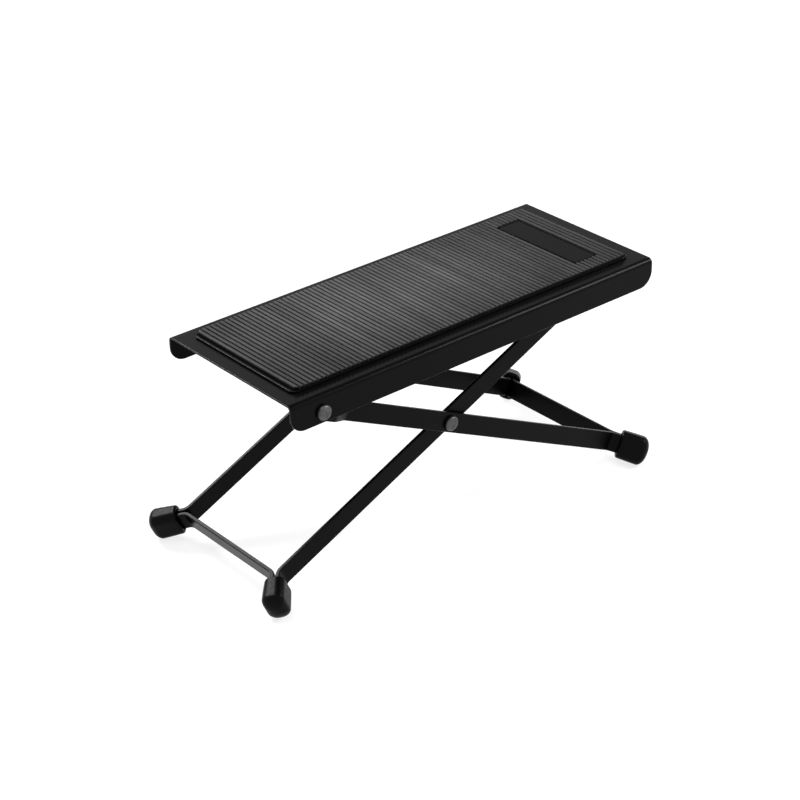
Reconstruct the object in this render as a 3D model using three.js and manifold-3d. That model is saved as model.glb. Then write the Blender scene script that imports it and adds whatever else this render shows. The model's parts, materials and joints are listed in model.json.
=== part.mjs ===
// Guitar footrest: a padded steel platform on two crossed leg frames that fold flat beneath it.
// Millimetres, +Z up. The origin is on the floor, below the scissor rivets and midway across.
// The low front end of the platform points to -X and the high rear end to +X.
import * as THREE from "three";
import * as BufferGeometryUtils from "three/addons/utils/BufferGeometryUtils.js";
import Module from "manifold-3d";

const wasm = await Module();
wasm.setup();

// Platform, a channel pressed from one sheet
const platformLength = 270;
const platformWidth = 111.2;
const flangeDepth = 17;
const sheetThickness = 1.2;
const platformBendRadius = 3;
const flangeCornerRadius = 9.5;

// Linkage: leg angles are to the platform, and the foot bars fold to just past the platform's ends
const pivotInset = 21.5;
const pivotDrop = 10.4;
const pivotToScissor = 106.2;
const rearOverhang = 5.8;
const frontOverhang = 7.2;
const rearLegAngle = THREE.MathUtils.degToRad(25.8);
const frontLegAngle = THREE.MathUtils.degToRad(24.1);
const rearLegFold = THREE.MathUtils.degToRad(23);
const frontLegFold = THREE.MathUtils.degToRad(26.7);

// Leg frames, each bent from one flat steel strip
const stripWidth = 11.8;
const stripThickness = 2.3;
const joggleDepth = 5.2;
const joggleStart = 13.5;
const joggleRun = 11;
const joggleBendRadius = 6;
const earBendRadius = 5;
const earGap = 1;
const earLength = 14;

// Rivets, washers and the locking rod
const rivetDiameter = 5;
const rivetHeadDiameter = 9;
const rivetHeadHeight = 2.6;
const clenchDiameter = 8;
const clenchHeight = 1.7;
const washerDiameter = 11;
const washerThickness = 0.6;
const rodDiameter = 6;
const rodTenonDiameter = 4.4;
const rodPeenDiameter = 7;
const rodPeenHeight = 0.5;

// Notched racks under the high end of the platform
const rackThickness = 1.8;
const rackFlangeWidth = 13;
const rackSpacing = 52;
const notchCount = 5;
const notchPitch = 9;
const toothDepth = 5.2;
const toothChamfer = 0.7;
const rackFrontLand = 6;
const rampLength = 15;
const rackEndRadius = 2.5;

// Rubber pad and its blank badge
const padEndInset = 9.5;
const padSideInset = 10.2;
const padBaseThickness = 1.4;
const padCornerRadius = 6;
const ribPitch = 3.12;
const ribBedHeight = 0.6;
const ribHeight = 1;
const ribEndInset = 2.1;
const ribSideInset = 1;
const ribTopShare = 0.56;
const ribRootShare = 0.8;
const badgeLength = 66.5;
const badgeWidth = 16.1;
const badgeThickness = 0.8;
const badgeCornerRadius = 1.2;
const badgeInset = 16.25;
const badgeMargin = 1.3;

// Rubber foot caps on the ears of the leg frames, wide across the strip and deep along the floor
const capLength = 18.6;
const capMouthInset = 2.5;
const capMouthWidth = 17.6;
const capMouthDepth = 12;
const capRidgeWidth = 18;
const capRidgeDepth = 13;
const capCornerRadius = 4.6;
const capDomeHeight = 5;
const capRimRadius = 1.3;

// Clearances, and how finely curves are cut
const gap = 0.3;
const overrun = 2;
const bendStep = THREE.MathUtils.degToRad(9);
const turnSteps = 24;
const quarterSteps = 6;
const levelPasses = 20;

const halfTurn = Math.PI;
const quarterTurn = halfTurn / 2;
const eighthTurn = quarterTurn / 2;

// Materials as photographed: satin black coating on steel, black rubber, bare grey rivets
const steelCoat = { color: 0x1d1d1f, roughness: 0.42, metalness: 0.35 };
const rivetMetal = { color: 0x5c5c5e, roughness: 0.38, metalness: 0.85 };
const zincMetal = { color: 0x8f9296, roughness: 0.35, metalness: 0.9 };
const padRubber = { color: 0x2c2c2d, roughness: 0.75, metalness: 0 };
const capRubber = { color: 0x141415, roughness: 0.6, metalness: 0 };
const badgeFace = { color: 0x1a1a1b, roughness: 0.3, metalness: 0.2 };

// Places in the platform's side view: along from its front edge, and down from its top
function sidePoint(along, down) {
  return { along, down };
}

function stepFrom(start, distance, angle) {
  return sidePoint(start.along + distance * Math.cos(angle), start.down + distance * Math.sin(angle));
}

// Legs just long enough for both foot bars to clear the platform's ends when folded
const foldedRearAngle = rearLegAngle - rearLegFold;
const foldedFrontAngle = frontLegAngle - frontLegFold;
const foldedRearLength = platformLength + rearOverhang - pivotInset;
const foldedFrontLength = pivotInset + pivotToScissor * Math.cos(foldedRearAngle) + frontOverhang;
const scissorToRearFoot = foldedRearLength / Math.cos(foldedRearAngle) - pivotToScissor;
const scissorToFrontFoot = foldedFrontLength / Math.cos(foldedFrontAngle);

const pivotPoint = sidePoint(pivotInset, pivotDrop);
const scissorPoint = stepFrom(pivotPoint, pivotToScissor, rearLegAngle);
const rearFootPoint = stepFrom(scissorPoint, scissorToRearFoot, rearLegAngle);
const frontFootPoint = stepFrom(scissorPoint, scissorToFrontFoot, halfTurn - frontLegAngle);
const rackTop = sheetThickness + gap;
const rodDrop = rackTop + stripWidth / 2;
const notchSeat = rodDrop - rodDiameter / 2 - gap;
const scissorToRod = (scissorPoint.down - rodDrop) / Math.sin(frontLegAngle);
const rodPoint = stepFrom(scissorPoint, scissorToRod, -frontLegAngle);

// Widths across the assembly, from the platform's flanges inwards
const halfPlatform = platformWidth / 2;
const flangeFace = halfPlatform - sheetThickness;
const rearTopFace = flangeFace - gap - washerThickness - gap;
const rearArmFace = rearTopFace - joggleDepth;
const rearArmInside = rearArmFace - stripThickness;
const frontArmFace = rearArmInside - gap - washerThickness - gap;
const frontArmInside = frontArmFace - stripThickness;

// Each ear is the strip doubled back on itself along the corner's bisector
const earHalf = (stripThickness + earGap) / 2;
const earThickness = 2 * stripThickness + earGap;

// The slope at which the rod leaves its notch when the legs start to fold
const foldRatio = frontLegFold / rearLegFold;
const rodLeaving = {
  along: pivotToScissor * Math.sin(rearLegAngle) + foldRatio * scissorToRod * Math.sin(frontLegAngle),
  down: foldRatio * scissorToRod * Math.cos(frontLegAngle) - pivotToScissor * Math.cos(rearLegAngle),
};
const rodSlope = Math.atan2(rodLeaving.down, rodLeaving.along);

// Sections of a foot cap along its axis: a rounded rim, a widening flank and a domed end
function capSections() {
  const angles = Array.from({ length: quarterSteps }, (_, step) => (quarterTurn * step) / quarterSteps);
  const rim = [...angles, quarterTurn].map((angle) => {
    const inset = capRimRadius * (1 - Math.sin(angle));
    return {
      along: capMouthInset + capRimRadius * (1 - Math.cos(angle)),
      width: capMouthWidth - 2 * inset,
      depth: capMouthDepth - 2 * inset,
      radius: capCornerRadius - inset,
    };
  });
  const dome = angles.map((angle) => ({
    along: capMouthInset + capLength - capDomeHeight + capDomeHeight * Math.sin(angle),
    width: capRidgeWidth * Math.cos(angle),
    depth: capRidgeDepth * Math.cos(angle),
    radius: capCornerRadius * Math.cos(angle),
  }));
  return [...rim, ...dome];
}

// How far a cap reaches below its corner when its leg leans at an angle to the floor
function capReach(lean) {
  const dip = Math.sin(lean) * Math.SQRT1_2;
  const level = Math.cos(lean);
  const reaches = capSections().map(({ along, width, depth, radius }) => {
    const corner = (width / 2 - radius) * level + (depth / 2 - radius) * dip;
    return along * dip + corner + radius * Math.hypot(level, dip);
  });
  return Math.max(...reaches);
}

// The platform's tilt, found so that the front and rear caps stand on one floor
function levelTilt() {
  const run = rearFootPoint.along - frontFootPoint.along;
  const fall = rearFootPoint.down - frontFootPoint.down;
  let tilt = Math.atan2(fall, run);
  for (let pass = 0; pass < levelPasses; pass += 1) {
    const rise = capReach(rearLegAngle - tilt) - capReach(frontLegAngle + tilt);
    tilt = Math.atan2(fall, run) + Math.asin(rise / Math.hypot(run, fall));
  }
  return tilt;
}

const platformTilt = levelTilt();

// Turns a closed geometry into a solid that can be joined and cut
function toSolid(geometry) {
  const bare = geometry.clone();
  bare.deleteAttribute("normal");
  bare.deleteAttribute("uv");
  const merged = BufferGeometryUtils.mergeVertices(bare);
  return new wasm.Manifold(new wasm.Mesh({
    numProp: 3,
    vertProperties: new Float32Array(merged.attributes.position.array),
    triVerts: new Uint32Array(merged.index.array),
  }));
}

function toGeometry(solid) {
  const mesh = solid.getMesh();
  const geometry = new THREE.BufferGeometry();
  geometry.setAttribute("position", new THREE.BufferAttribute(mesh.vertProperties, 3));
  geometry.setIndex(new THREE.BufferAttribute(mesh.triVerts, 1));
  geometry.computeVertexNormals();
  return geometry;
}

// Extrudes an outline drawn in X and Y upwards, centred on the drawing plane
function extrudeUp(outline, height) {
  const settings = { depth: height, bevelEnabled: false, curveSegments: quarterSteps };
  return new THREE.ExtrudeGeometry(new THREE.Shape(outline), settings).translate(0, 0, -height / 2);
}

// Extrudes an outline drawn in X and Z across the width, centred on Y = 0
function extrudeAcross(outline, width) {
  return extrudeUp(outline, width).rotateX(quarterTurn);
}

// Extrudes an outline drawn in Y and Z along X, starting at X = 0
function extrudeAlong(outline, length) {
  return extrudeUp(outline, length).translate(0, 0, length / 2).rotateX(quarterTurn).rotateZ(quarterTurn);
}

// Points of an arc about a centre, from one angle to another
function arc(centreX, centreY, radius, from, to) {
  const steps = Math.max(2, Math.ceil((Math.abs(to - from) / quarterTurn) * quarterSteps));
  return Array.from({ length: steps + 1 }, (_, step) => {
    const angle = from + ((to - from) * step) / steps;
    return new THREE.Vector2(centreX + radius * Math.cos(angle), centreY + radius * Math.sin(angle));
  });
}

// A rectangle with rounded corners, centred on the origin
function roundedRectangle(length, width, radius) {
  const x = length / 2 - radius;
  const y = width / 2 - radius;
  return [
    ...arc(x, -y, radius, -quarterTurn, 0),
    ...arc(x, y, radius, 0, quarterTurn),
    ...arc(-x, y, radius, quarterTurn, halfTurn),
    ...arc(-x, -y, radius, halfTurn, halfTurn + quarterTurn),
  ];
}

// A pin's cutter along Y, centred on a point of the side view
function crossDrill(x, z, diameter, length) {
  const drill = new THREE.CylinderGeometry(diameter / 2, diameter / 2, length, turnSteps);
  return toSolid(drill.translate(x, 0, z));
}

// Revolves a profile of radius and height about Y, then points it along the given direction
function revolve(profile, direction) {
  const geometry = new THREE.LatheGeometry(profile, turnSteps);
  const turn = new THREE.Quaternion().setFromUnitVectors(new THREE.Vector3(0, 1, 0), direction);
  return toSolid(geometry.applyQuaternion(turn));
}

// Joins rounded sections along Y into one closed body that ends in a point at the given height
function loft(sections, end) {
  const rings = sections.map(({ width, depth, radius }) => roundedRectangle(depth, width, radius));
  const size = rings[0].length;
  const points = rings.flatMap((ring, level) => ring.map((p) => [p.x, sections[level].along, p.y]));
  const startPoint = points.length;
  const endPoint = startPoint + 1;
  points.push([0, sections[0].along, 0], [0, end, 0]);
  const lastRing = (rings.length - 1) * size;
  const faces = [];
  for (let index = 0; index < size; index += 1) {
    const next = (index + 1) % size;
    faces.push(startPoint, index, next);
    faces.push(endPoint, lastRing + next, lastRing + index);
    for (let ring = 0; ring < lastRing; ring += size) {
      faces.push(ring + index, ring + size + index, ring + next);
      faces.push(ring + next, ring + size + index, ring + size + next);
    }
  }
  const geometry = new THREE.BufferGeometry();
  geometry.setAttribute("position", new THREE.Float32BufferAttribute(points.flat(), 3));
  geometry.setIndex(faces);
  return geometry;
}

function makeMesh(name, solid, finish) {
  const mesh = new THREE.Mesh(toGeometry(solid), new THREE.MeshStandardMaterial(finish));
  mesh.name = name;
  return mesh;
}

// Follows a strip's centreline through its bends, giving points and their left-hand normals
function bendPath(corners) {
  const path = [];
  const addPoint = (x, y, heading) => {
    path.push({ x, y, normalX: -Math.sin(heading), normalY: Math.cos(heading) });
  };
  const headingFrom = (start, end) => Math.atan2(end.y - start.y, end.x - start.x);
  corners.forEach((corner, index) => {
    const before = corners[index - 1];
    const after = corners[index + 1];
    if (!before || !after) {
      addPoint(corner.x, corner.y, before ? headingFrom(before, corner) : headingFrom(corner, after));
      return;
    }
    const headingIn = headingFrom(before, corner);
    const change = headingFrom(corner, after) - headingIn;
    const turn = Math.atan2(Math.sin(change), Math.cos(change));
    const side = Math.sign(turn);
    const setback = corner.radius * Math.tan(Math.abs(turn) / 2);
    const startX = corner.x - setback * Math.cos(headingIn);
    const startY = corner.y - setback * Math.sin(headingIn);
    const centreX = startX - side * corner.radius * Math.sin(headingIn);
    const centreY = startY + side * corner.radius * Math.cos(headingIn);
    const steps = Math.ceil(Math.abs(turn) / bendStep);
    for (let step = 0; step <= steps; step += 1) {
      const heading = headingIn + (turn * step) / steps;
      const x = centreX + side * corner.radius * Math.sin(heading);
      const y = centreY - side * corner.radius * Math.cos(heading);
      addPoint(x, y, heading);
    }
  });
  return path;
}

// The closed outline of a strip of even thickness along a bent path
function stripOutline(corners) {
  const path = bendPath(corners);
  const half = stripThickness / 2;
  const left = path.map((p) => new THREE.Vector2(p.x + p.normalX * half, p.y + p.normalY * half));
  const right = path.map((p) => new THREE.Vector2(p.x - p.normalX * half, p.y - p.normalY * half));
  return [...right, ...left.reverse()];
}

// Corners of one half of a leg frame, from the crossbar's end round the ear to the arm's top end
function halfFrameCorners(footX, armFace, topX, topFace) {
  const earRadius = earBendRadius + stripThickness / 2;
  const joggleRadius = joggleBendRadius + stripThickness / 2;
  const barLine = footX - stripThickness / 2;
  const armLine = armFace - stripThickness / 2;
  const topLine = topFace - stripThickness / 2;
  const reach = (earLength - stripThickness / 2) * Math.SQRT1_2;
  const side = earHalf * Math.SQRT1_2;
  const corners = [
    { x: barLine, y: armLine - earHalf * Math.SQRT2, radius: earRadius },
    { x: footX + reach + side, y: armFace + reach - side, radius: earHalf },
    { x: footX + reach - side, y: armFace + reach + side, radius: earHalf },
    { x: barLine - earHalf * Math.SQRT2, y: armLine, radius: earRadius },
  ];
  if (topFace > armFace) {
    corners.push({ x: topX + joggleStart + joggleRun, y: armLine, radius: joggleRadius });
    corners.push({ x: topX + joggleStart, y: topLine, radius: joggleRadius });
  }
  corners.push({ x: topX - stripWidth / 2, y: topLine });
  return corners;
}

// A bent strip frame with ears for the caps, round arm ends and cross-drilled holes
function legFrame(footX, armFace, topX, topFace, holes) {
  const half = halfFrameCorners(footX, armFace, topX, topFace);
  const mirrored = half.map((corner) => ({ ...corner, y: -corner.y })).reverse();
  const strip = toSolid(extrudeUp(stripOutline([...mirrored, ...half]), stripWidth));
  const rim = stripWidth / 2 + overrun;
  const farEnd = footX + earLength + overrun;
  const blank = [
    ...arc(topX, 0, stripWidth / 2, quarterTurn, halfTurn + quarterTurn),
    new THREE.Vector2(topX, -rim),
    new THREE.Vector2(farEnd, -rim),
    new THREE.Vector2(farEnd, rim),
    new THREE.Vector2(topX, rim),
  ];
  const width = 2 * (topFace + earLength + overrun);
  const rounded = strip.intersect(toSolid(extrudeAcross(blank, width)));
  return holes.reduce((frame, hole) => {
    return frame.subtract(crossDrill(hole.x, 0, hole.diameter + 2 * gap, width));
  }, rounded);
}

// The platform's section: a flat top and two flanges joined by rolled bends
function channelSection() {
  const inner = platformBendRadius - sheetThickness;
  const y = halfPlatform - platformBendRadius;
  const z = -platformBendRadius;
  return [
    new THREE.Vector2(halfPlatform, -flangeDepth),
    ...arc(y, z, platformBendRadius, 0, quarterTurn),
    ...arc(-y, z, platformBendRadius, quarterTurn, halfTurn),
    new THREE.Vector2(-halfPlatform, -flangeDepth),
    new THREE.Vector2(-flangeFace, -flangeDepth),
    ...arc(-y, z, inner, halfTurn, quarterTurn),
    ...arc(y, z, inner, quarterTurn, 0),
    new THREE.Vector2(flangeFace, -flangeDepth),
  ];
}

function platformSolid() {
  const channel = toSolid(extrudeAlong(channelSection(), platformLength));
  const endX = platformLength - flangeCornerRadius;
  const lowZ = flangeCornerRadius - flangeDepth;
  const profile = [
    new THREE.Vector2(0, overrun),
    ...arc(flangeCornerRadius, lowZ, flangeCornerRadius, halfTurn, halfTurn + quarterTurn),
    ...arc(endX, lowZ, flangeCornerRadius, -quarterTurn, 0),
    new THREE.Vector2(platformLength, overrun),
  ];
  const trimmed = channel.intersect(toSolid(extrudeAcross(profile, platformWidth + overrun)));
  const drill = crossDrill(pivotInset, -pivotDrop, rivetDiameter + 2 * gap, platformWidth + overrun);
  return trimmed.subtract(drill);
}

// Side view of one rack wall: round-bottomed notches between teeth, then the lead-in ramp
function rackProfile() {
  const seatRadius = rodDiameter / 2 + gap;
  const tip = -(notchSeat + toothDepth);
  const roof = -rackTop;
  const firstNotch = rodPoint.along - (notchCount - 1) * notchPitch;
  const frontEnd = firstNotch - seatRadius - rackFrontLand;
  const rampEnd = rodPoint.along + rampLength;
  const outline = [new THREE.Vector2(frontEnd, roof)];
  const cornerX = frontEnd + rackEndRadius;
  outline.push(...arc(cornerX, tip + rackEndRadius, rackEndRadius, halfTurn, halfTurn + quarterTurn));
  for (let notch = 0; notch < notchCount; notch += 1) {
    const centre = firstNotch + notch * notchPitch;
    const lastNotch = notch === notchCount - 1;
    const leaveAngle = lastNotch ? quarterTurn - rodSlope : 0;
    outline.push(new THREE.Vector2(centre - seatRadius - toothChamfer, tip));
    outline.push(new THREE.Vector2(centre - seatRadius, tip + toothChamfer));
    outline.push(...arc(centre, -rodDrop, seatRadius, halfTurn, leaveAngle));
    if (!lastNotch) {
      outline.push(new THREE.Vector2(centre + seatRadius, tip + toothChamfer));
      outline.push(new THREE.Vector2(centre + seatRadius + toothChamfer, tip));
    }
  }
  const rampTop = -rodDrop + seatRadius / Math.cos(rodSlope);
  outline.push(new THREE.Vector2(rampEnd, rampTop - rampLength * Math.tan(rodSlope)));
  outline.push(new THREE.Vector2(rampEnd, roof));
  return outline;
}

// An angle section: a flange against the platform and a notched wall hanging from its outer edge
function rackSolid(side) {
  const profile = rackProfile();
  const wallY = (rackSpacing / 2 - rackThickness / 2) * side;
  const flangeY = (rackSpacing / 2 - rackFlangeWidth / 2) * side;
  const frontEnd = profile[0].x;
  const rearEnd = profile[profile.length - 1].x;
  const wall = extrudeAcross(profile, rackThickness).translate(0, wallY, 0);
  const flange = new THREE.BoxGeometry(rearEnd - frontEnd, rackFlangeWidth, rackThickness);
  flange.translate((frontEnd + rearEnd) / 2, flangeY, -(rackTop + rackThickness / 2));
  return toSolid(wall).add(toSolid(flange));
}

const padLength = platformLength - 2 * padEndInset;
const padWidth = platformWidth - 2 * padSideInset;
const padRoot = gap + padBaseThickness;
const ribCount = Math.floor((padLength - 2 * ribEndInset) / ribPitch);
const ribLength = padWidth - 2 * ribSideInset;
const badgeCentre = padEndInset + padLength - badgeInset - badgeWidth / 2;

// Side view of the ribs: a comb on a low bed, whose back is sunk halfway into the pad's base
function ribProfile() {
  const start = padEndInset + ribEndInset;
  const back = padRoot - padBaseThickness / 2;
  const root = padRoot + ribBedHeight;
  const rootHalf = (ribPitch * ribRootShare) / 2;
  const topHalf = (ribPitch * ribTopShare) / 2;
  const comb = [new THREE.Vector2(start, back), new THREE.Vector2(start + ribCount * ribPitch, back)];
  for (let rib = ribCount - 1; rib >= 0; rib -= 1) {
    const centre = start + (rib + 1 / 2) * ribPitch;
    comb.push(new THREE.Vector2(centre + rootHalf, root));
    comb.push(new THREE.Vector2(centre + topHalf, root + ribHeight));
    comb.push(new THREE.Vector2(centre - topHalf, root + ribHeight));
    comb.push(new THREE.Vector2(centre - rootHalf, root));
  }
  return comb;
}

// The pad: a thin base, ribs across it that keep to its rounded corners, and a pocket for the badge
function padSolid() {
  const base = extrudeUp(roundedRectangle(padLength, padWidth, padCornerRadius), padBaseThickness);
  base.translate(platformLength / 2, 0, padRoot - padBaseThickness / 2);
  const fieldLength = padLength - 2 * ribEndInset;
  const field = roundedRectangle(fieldLength, ribLength, padCornerRadius - ribSideInset);
  const headroom = ribBedHeight + ribHeight + overrun;
  const trim = extrudeUp(field, 2 * headroom).translate(platformLength / 2, 0, padRoot);
  const ribs = toSolid(extrudeAcross(ribProfile(), ribLength)).intersect(toSolid(trim));
  const recessWidth = badgeWidth + 2 * badgeMargin;
  const recessLength = badgeLength + 2 * badgeMargin;
  const recess = roundedRectangle(recessWidth, recessLength, badgeCornerRadius + badgeMargin);
  const pocket = extrudeUp(recess, headroom).translate(badgeCentre, 0, padRoot + headroom / 2);
  return ribs.add(toSolid(base)).subtract(toSolid(pocket));
}

function badgeSolid() {
  const plate = extrudeUp(roundedRectangle(badgeWidth, badgeLength, badgeCornerRadius), badgeThickness);
  return toSolid(plate.translate(badgeCentre, 0, padRoot + gap + badgeThickness / 2));
}

// Points up the side of a dome, from its rim to just short of its top
function domeProfile(radius, height, base) {
  return Array.from({ length: quarterSteps }, (_, step) => {
    const angle = (quarterTurn * step) / quarterSteps;
    return new THREE.Vector2(radius * Math.cos(angle), base + height * Math.sin(angle));
  });
}

// A rivet along +Y: a domed head, a shank through a stack of pieces, and a flatter clenched end
function rivetSolid(side, outerFace, innerFace) {
  const shank = rivetDiameter / 2;
  const outer = outerFace + gap;
  const inner = innerFace - gap;
  const profile = [
    new THREE.Vector2(0, inner - clenchHeight),
    ...domeProfile(clenchDiameter / 2, -clenchHeight, inner).reverse(),
    new THREE.Vector2(shank, inner),
    new THREE.Vector2(shank, outer),
    ...domeProfile(rivetHeadDiameter / 2, rivetHeadHeight, outer),
    new THREE.Vector2(0, outer + rivetHeadHeight),
  ];
  return revolve(profile, new THREE.Vector3(0, side, 0));
}

function washerSolid(side, outerFace) {
  const hole = rivetDiameter / 2 + gap;
  const rim = washerDiameter / 2;
  const outer = outerFace - gap;
  const inner = outer - washerThickness;
  const profile = [
    new THREE.Vector2(hole, inner),
    new THREE.Vector2(rim, inner),
    new THREE.Vector2(rim, outer),
    new THREE.Vector2(hole, outer),
    new THREE.Vector2(hole, inner),
  ];
  return revolve(profile, new THREE.Vector3(0, side, 0));
}

// The locking rod: a round bar whose turned-down ends pass through the front legs and are peened over
function rodSolid() {
  const shoulder = frontArmInside - gap;
  const peen = frontArmFace + gap;
  const half = [
    new THREE.Vector2(rodDiameter / 2, shoulder),
    new THREE.Vector2(rodTenonDiameter / 2, shoulder),
    new THREE.Vector2(rodTenonDiameter / 2, peen),
    ...domeProfile(rodPeenDiameter / 2, rodPeenHeight, peen),
    new THREE.Vector2(0, peen + rodPeenHeight),
  ];
  const mirrored = half.map((point) => new THREE.Vector2(point.x, -point.y)).reverse();
  return revolve([...mirrored, ...half], new THREE.Vector3(0, 1, 0));
}

// A foot cap on one corner of a leg frame, hollowed to take the ear
function capSolid(footX, armFace, side) {
  const body = toSolid(loft(capSections(), capMouthInset + capLength));
  const start = capMouthInset - overrun;
  const end = earLength + gap;
  const pocket = new THREE.BoxGeometry(earThickness + 2 * gap, end - start, stripWidth + 2 * gap);
  pocket.translate(0, (start + end) / 2, 0);
  const cap = toGeometry(body.subtract(toSolid(pocket)));
  cap.rotateZ(side > 0 ? -eighthTurn : -eighthTurn - quarterTurn);
  return toSolid(cap.translate(footX, armFace * side, 0));
}

// The platform's own frame has X along it from its front edge and Z square to its top
function placePlatform() {
  const group = new THREE.Group();
  const cosine = Math.cos(platformTilt);
  const sine = Math.sin(platformTilt);
  const floorDrop = capReach(frontLegAngle + platformTilt);
  group.rotation.y = -platformTilt;
  group.position.x = -scissorPoint.along * cosine - scissorPoint.down * sine;
  group.position.z = floorDrop - frontFootPoint.along * sine + frontFootPoint.down * cosine;
  return group;
}

// A leg frame's own frame has X along its arms, towards the foot
function placeLegs(point, turn) {
  const group = new THREE.Group();
  group.position.set(point.along, 0, -point.down);
  group.rotation.y = turn;
  return group;
}

function makeLegs(name, footX, armFace, topX, topFace, holes) {
  return makeMesh(name, legFrame(footX, armFace, topX, topFace, holes), steelCoat);
}

const footrest = new THREE.Group();
const platformFrame = placePlatform();
const rearFrame = placeLegs(pivotPoint, rearLegAngle);
const frontFrame = placeLegs(scissorPoint, halfTurn - frontLegAngle);
footrest.add(platformFrame);
platformFrame.add(rearFrame, frontFrame);

platformFrame.add(makeMesh("platform", platformSolid(), steelCoat));
platformFrame.add(makeMesh("ribbed_pad", padSolid(), padRubber));
platformFrame.add(makeMesh("blank_badge", badgeSolid(), badgeFace));

const rearFootX = pivotToScissor + scissorToRearFoot;
const rearHoles = [{ x: 0, diameter: rivetDiameter }, { x: pivotToScissor, diameter: rivetDiameter }];
rearFrame.add(makeLegs("rear_leg_frame", rearFootX, rearArmFace, 0, rearTopFace, rearHoles));

const frontFootX = scissorToFrontFoot;
const rodX = -scissorToRod;
const frontHoles = [{ x: 0, diameter: rivetDiameter }, { x: rodX, diameter: rodTenonDiameter }];
frontFrame.add(makeLegs("front_leg_frame", frontFootX, frontArmFace, rodX, frontArmFace, frontHoles));

const lockingRod = makeMesh("locking_rod", rodSolid(), zincMetal);
lockingRod.position.x = rodX;
frontFrame.add(lockingRod);

for (const [label, side] of [["near", -1], ["far", 1]]) {
  platformFrame.add(makeMesh(`rod_rack_${label}`, rackSolid(side), steelCoat));

  const pivotStack = rivetSolid(side, halfPlatform, rearTopFace - stripThickness);
  const pivotRivet = makeMesh(`pivot_rivet_${label}`, pivotStack, rivetMetal);
  pivotRivet.position.set(pivotPoint.along, 0, -pivotPoint.down);
  platformFrame.add(pivotRivet);

  rearFrame.add(makeMesh(`pivot_washer_${label}`, washerSolid(side, flangeFace), zincMetal));

  const scissorStack = rivetSolid(side, rearArmFace, frontArmInside);
  const scissorRivet = makeMesh(`scissor_rivet_${label}`, scissorStack, rivetMetal);
  scissorRivet.position.x = pivotToScissor;
  rearFrame.add(scissorRivet);

  const scissorWasher = makeMesh(`scissor_washer_${label}`, washerSolid(side, rearArmInside), zincMetal);
  scissorWasher.position.x = pivotToScissor;
  rearFrame.add(scissorWasher);

  const rearCap = capSolid(rearFootX, rearArmFace, side);
  rearFrame.add(makeMesh(`rear_foot_cap_${label}`, rearCap, capRubber));

  const frontCap = capSolid(frontFootX, frontArmFace, side);
  frontFrame.add(makeMesh(`front_foot_cap_${label}`, frontCap, capRubber));
}

export default footrest;
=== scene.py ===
"""The looks of a folding guitar footrest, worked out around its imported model.

A ribbed rubber pad lies on a coated steel platform. Two strip frames cross beneath it, held by
four rivets, and stand on rubber foot caps. Lengths in the classes are millimetres in each
piece's own side view, and every mesh is placed in metres in the model's frame.
"""
import json
import logging
import math
from collections.abc import Callable, Sequence
from dataclasses import dataclass, field, replace
from enum import Enum

import bpy
import numpy as np
from mathutils import Matrix


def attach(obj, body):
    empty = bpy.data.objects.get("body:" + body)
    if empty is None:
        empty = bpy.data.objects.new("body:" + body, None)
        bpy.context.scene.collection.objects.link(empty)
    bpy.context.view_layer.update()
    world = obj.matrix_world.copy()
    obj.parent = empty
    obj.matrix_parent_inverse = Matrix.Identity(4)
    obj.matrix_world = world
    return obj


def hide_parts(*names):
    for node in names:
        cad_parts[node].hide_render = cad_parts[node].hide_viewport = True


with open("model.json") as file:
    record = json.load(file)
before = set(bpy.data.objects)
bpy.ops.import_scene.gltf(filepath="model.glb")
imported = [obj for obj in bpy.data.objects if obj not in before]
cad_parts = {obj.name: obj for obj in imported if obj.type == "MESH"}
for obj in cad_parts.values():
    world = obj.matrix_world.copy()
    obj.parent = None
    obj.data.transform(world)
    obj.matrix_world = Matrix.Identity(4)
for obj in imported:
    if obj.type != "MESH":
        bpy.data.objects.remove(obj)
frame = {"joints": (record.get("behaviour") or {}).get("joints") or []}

Array = np.ndarray
Faces = list[Sequence[int]]
Bending = Callable[[Array, Array, Array], Array]
Socket = bpy.types.NodeSocket
Colour = tuple[float, float, float, float]
Triple = tuple[float, float, float]

LOG = logging.getLogger("footrest")
PHOTO_SIDE = 800
RIM = "rim"
# The pad's crown share: dust, and painted light and shade too: lit crowns, walls and roots in
# painted shade, and a painted highlight on the front lip.
CROWN_DUST_AND_LIGHT = "crown"
WHITE = (1.0, 1.0, 1.0, 1.0)

# A millimetre in metres, the play between pieces, and the badge's place along the platform.
MM = 0.001
GAP = 0.3
BADGE_ALONG = 236.2
QUARTER = math.pi / 2
ROOT_TWO = math.sqrt(2)
SHARP_ANGLE = math.radians(50)
TURN_STEPS = 48
SHEET_RIM_STEPS = 5
# The least share of rim on a sheet's edge, and how far a plate's face is drawn in before its
# rim starts, as a multiple of the rim's radius.
LEAST_RIM = 0.4
FACE_INSET = 1.6
# Two limits that keep a divisor off nought, and the slack when places are compared.
LEAST_LENGTH = 1e-9
LEAST_MITRE = 0.5
SLACK = 1e-6
# The display curve: its full white, the end and the slope of its straight part in the darks,
# and the shift and the power of the rest.
FULL_WHITE = 255
DARK_END = 0.04045
DARK_SLOPE = 12.92
CURVE_SHIFT = 0.055
CURVE_POWER = 2.4
# The section of a rib, a level root, a steep flank, and a crown rounded off at both shoulders:
# places as shares of the pitch, and the height at each as a share of the rib's.
RIB_PLACES = np.array(
    [0, 0.09, 0.11, 0.16, 0.2, 0.25, 0.34, 0.5, 0.66, 0.75, 0.8, 0.84, 0.89, 0.91, 1]
)
RIB_SHARES = np.array([0, 0, 0.08, 0.62, 0.84, 0.94, 0.99, 1, 0.99, 0.94, 0.84, 0.62, 0.08, 0, 0])


class Slot(Enum):
    """The record's finish slots."""

    PLATFORM = "platform_coat"
    LEGS = "leg_coat"
    RACKS = "rack_coat"
    RIVETS = "rivet_steel"
    ZINC = "zinc_plate"
    PAD = "pad_rubber"
    BADGE = "badge_plate"
    CAPS = "cap_rubber"


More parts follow.
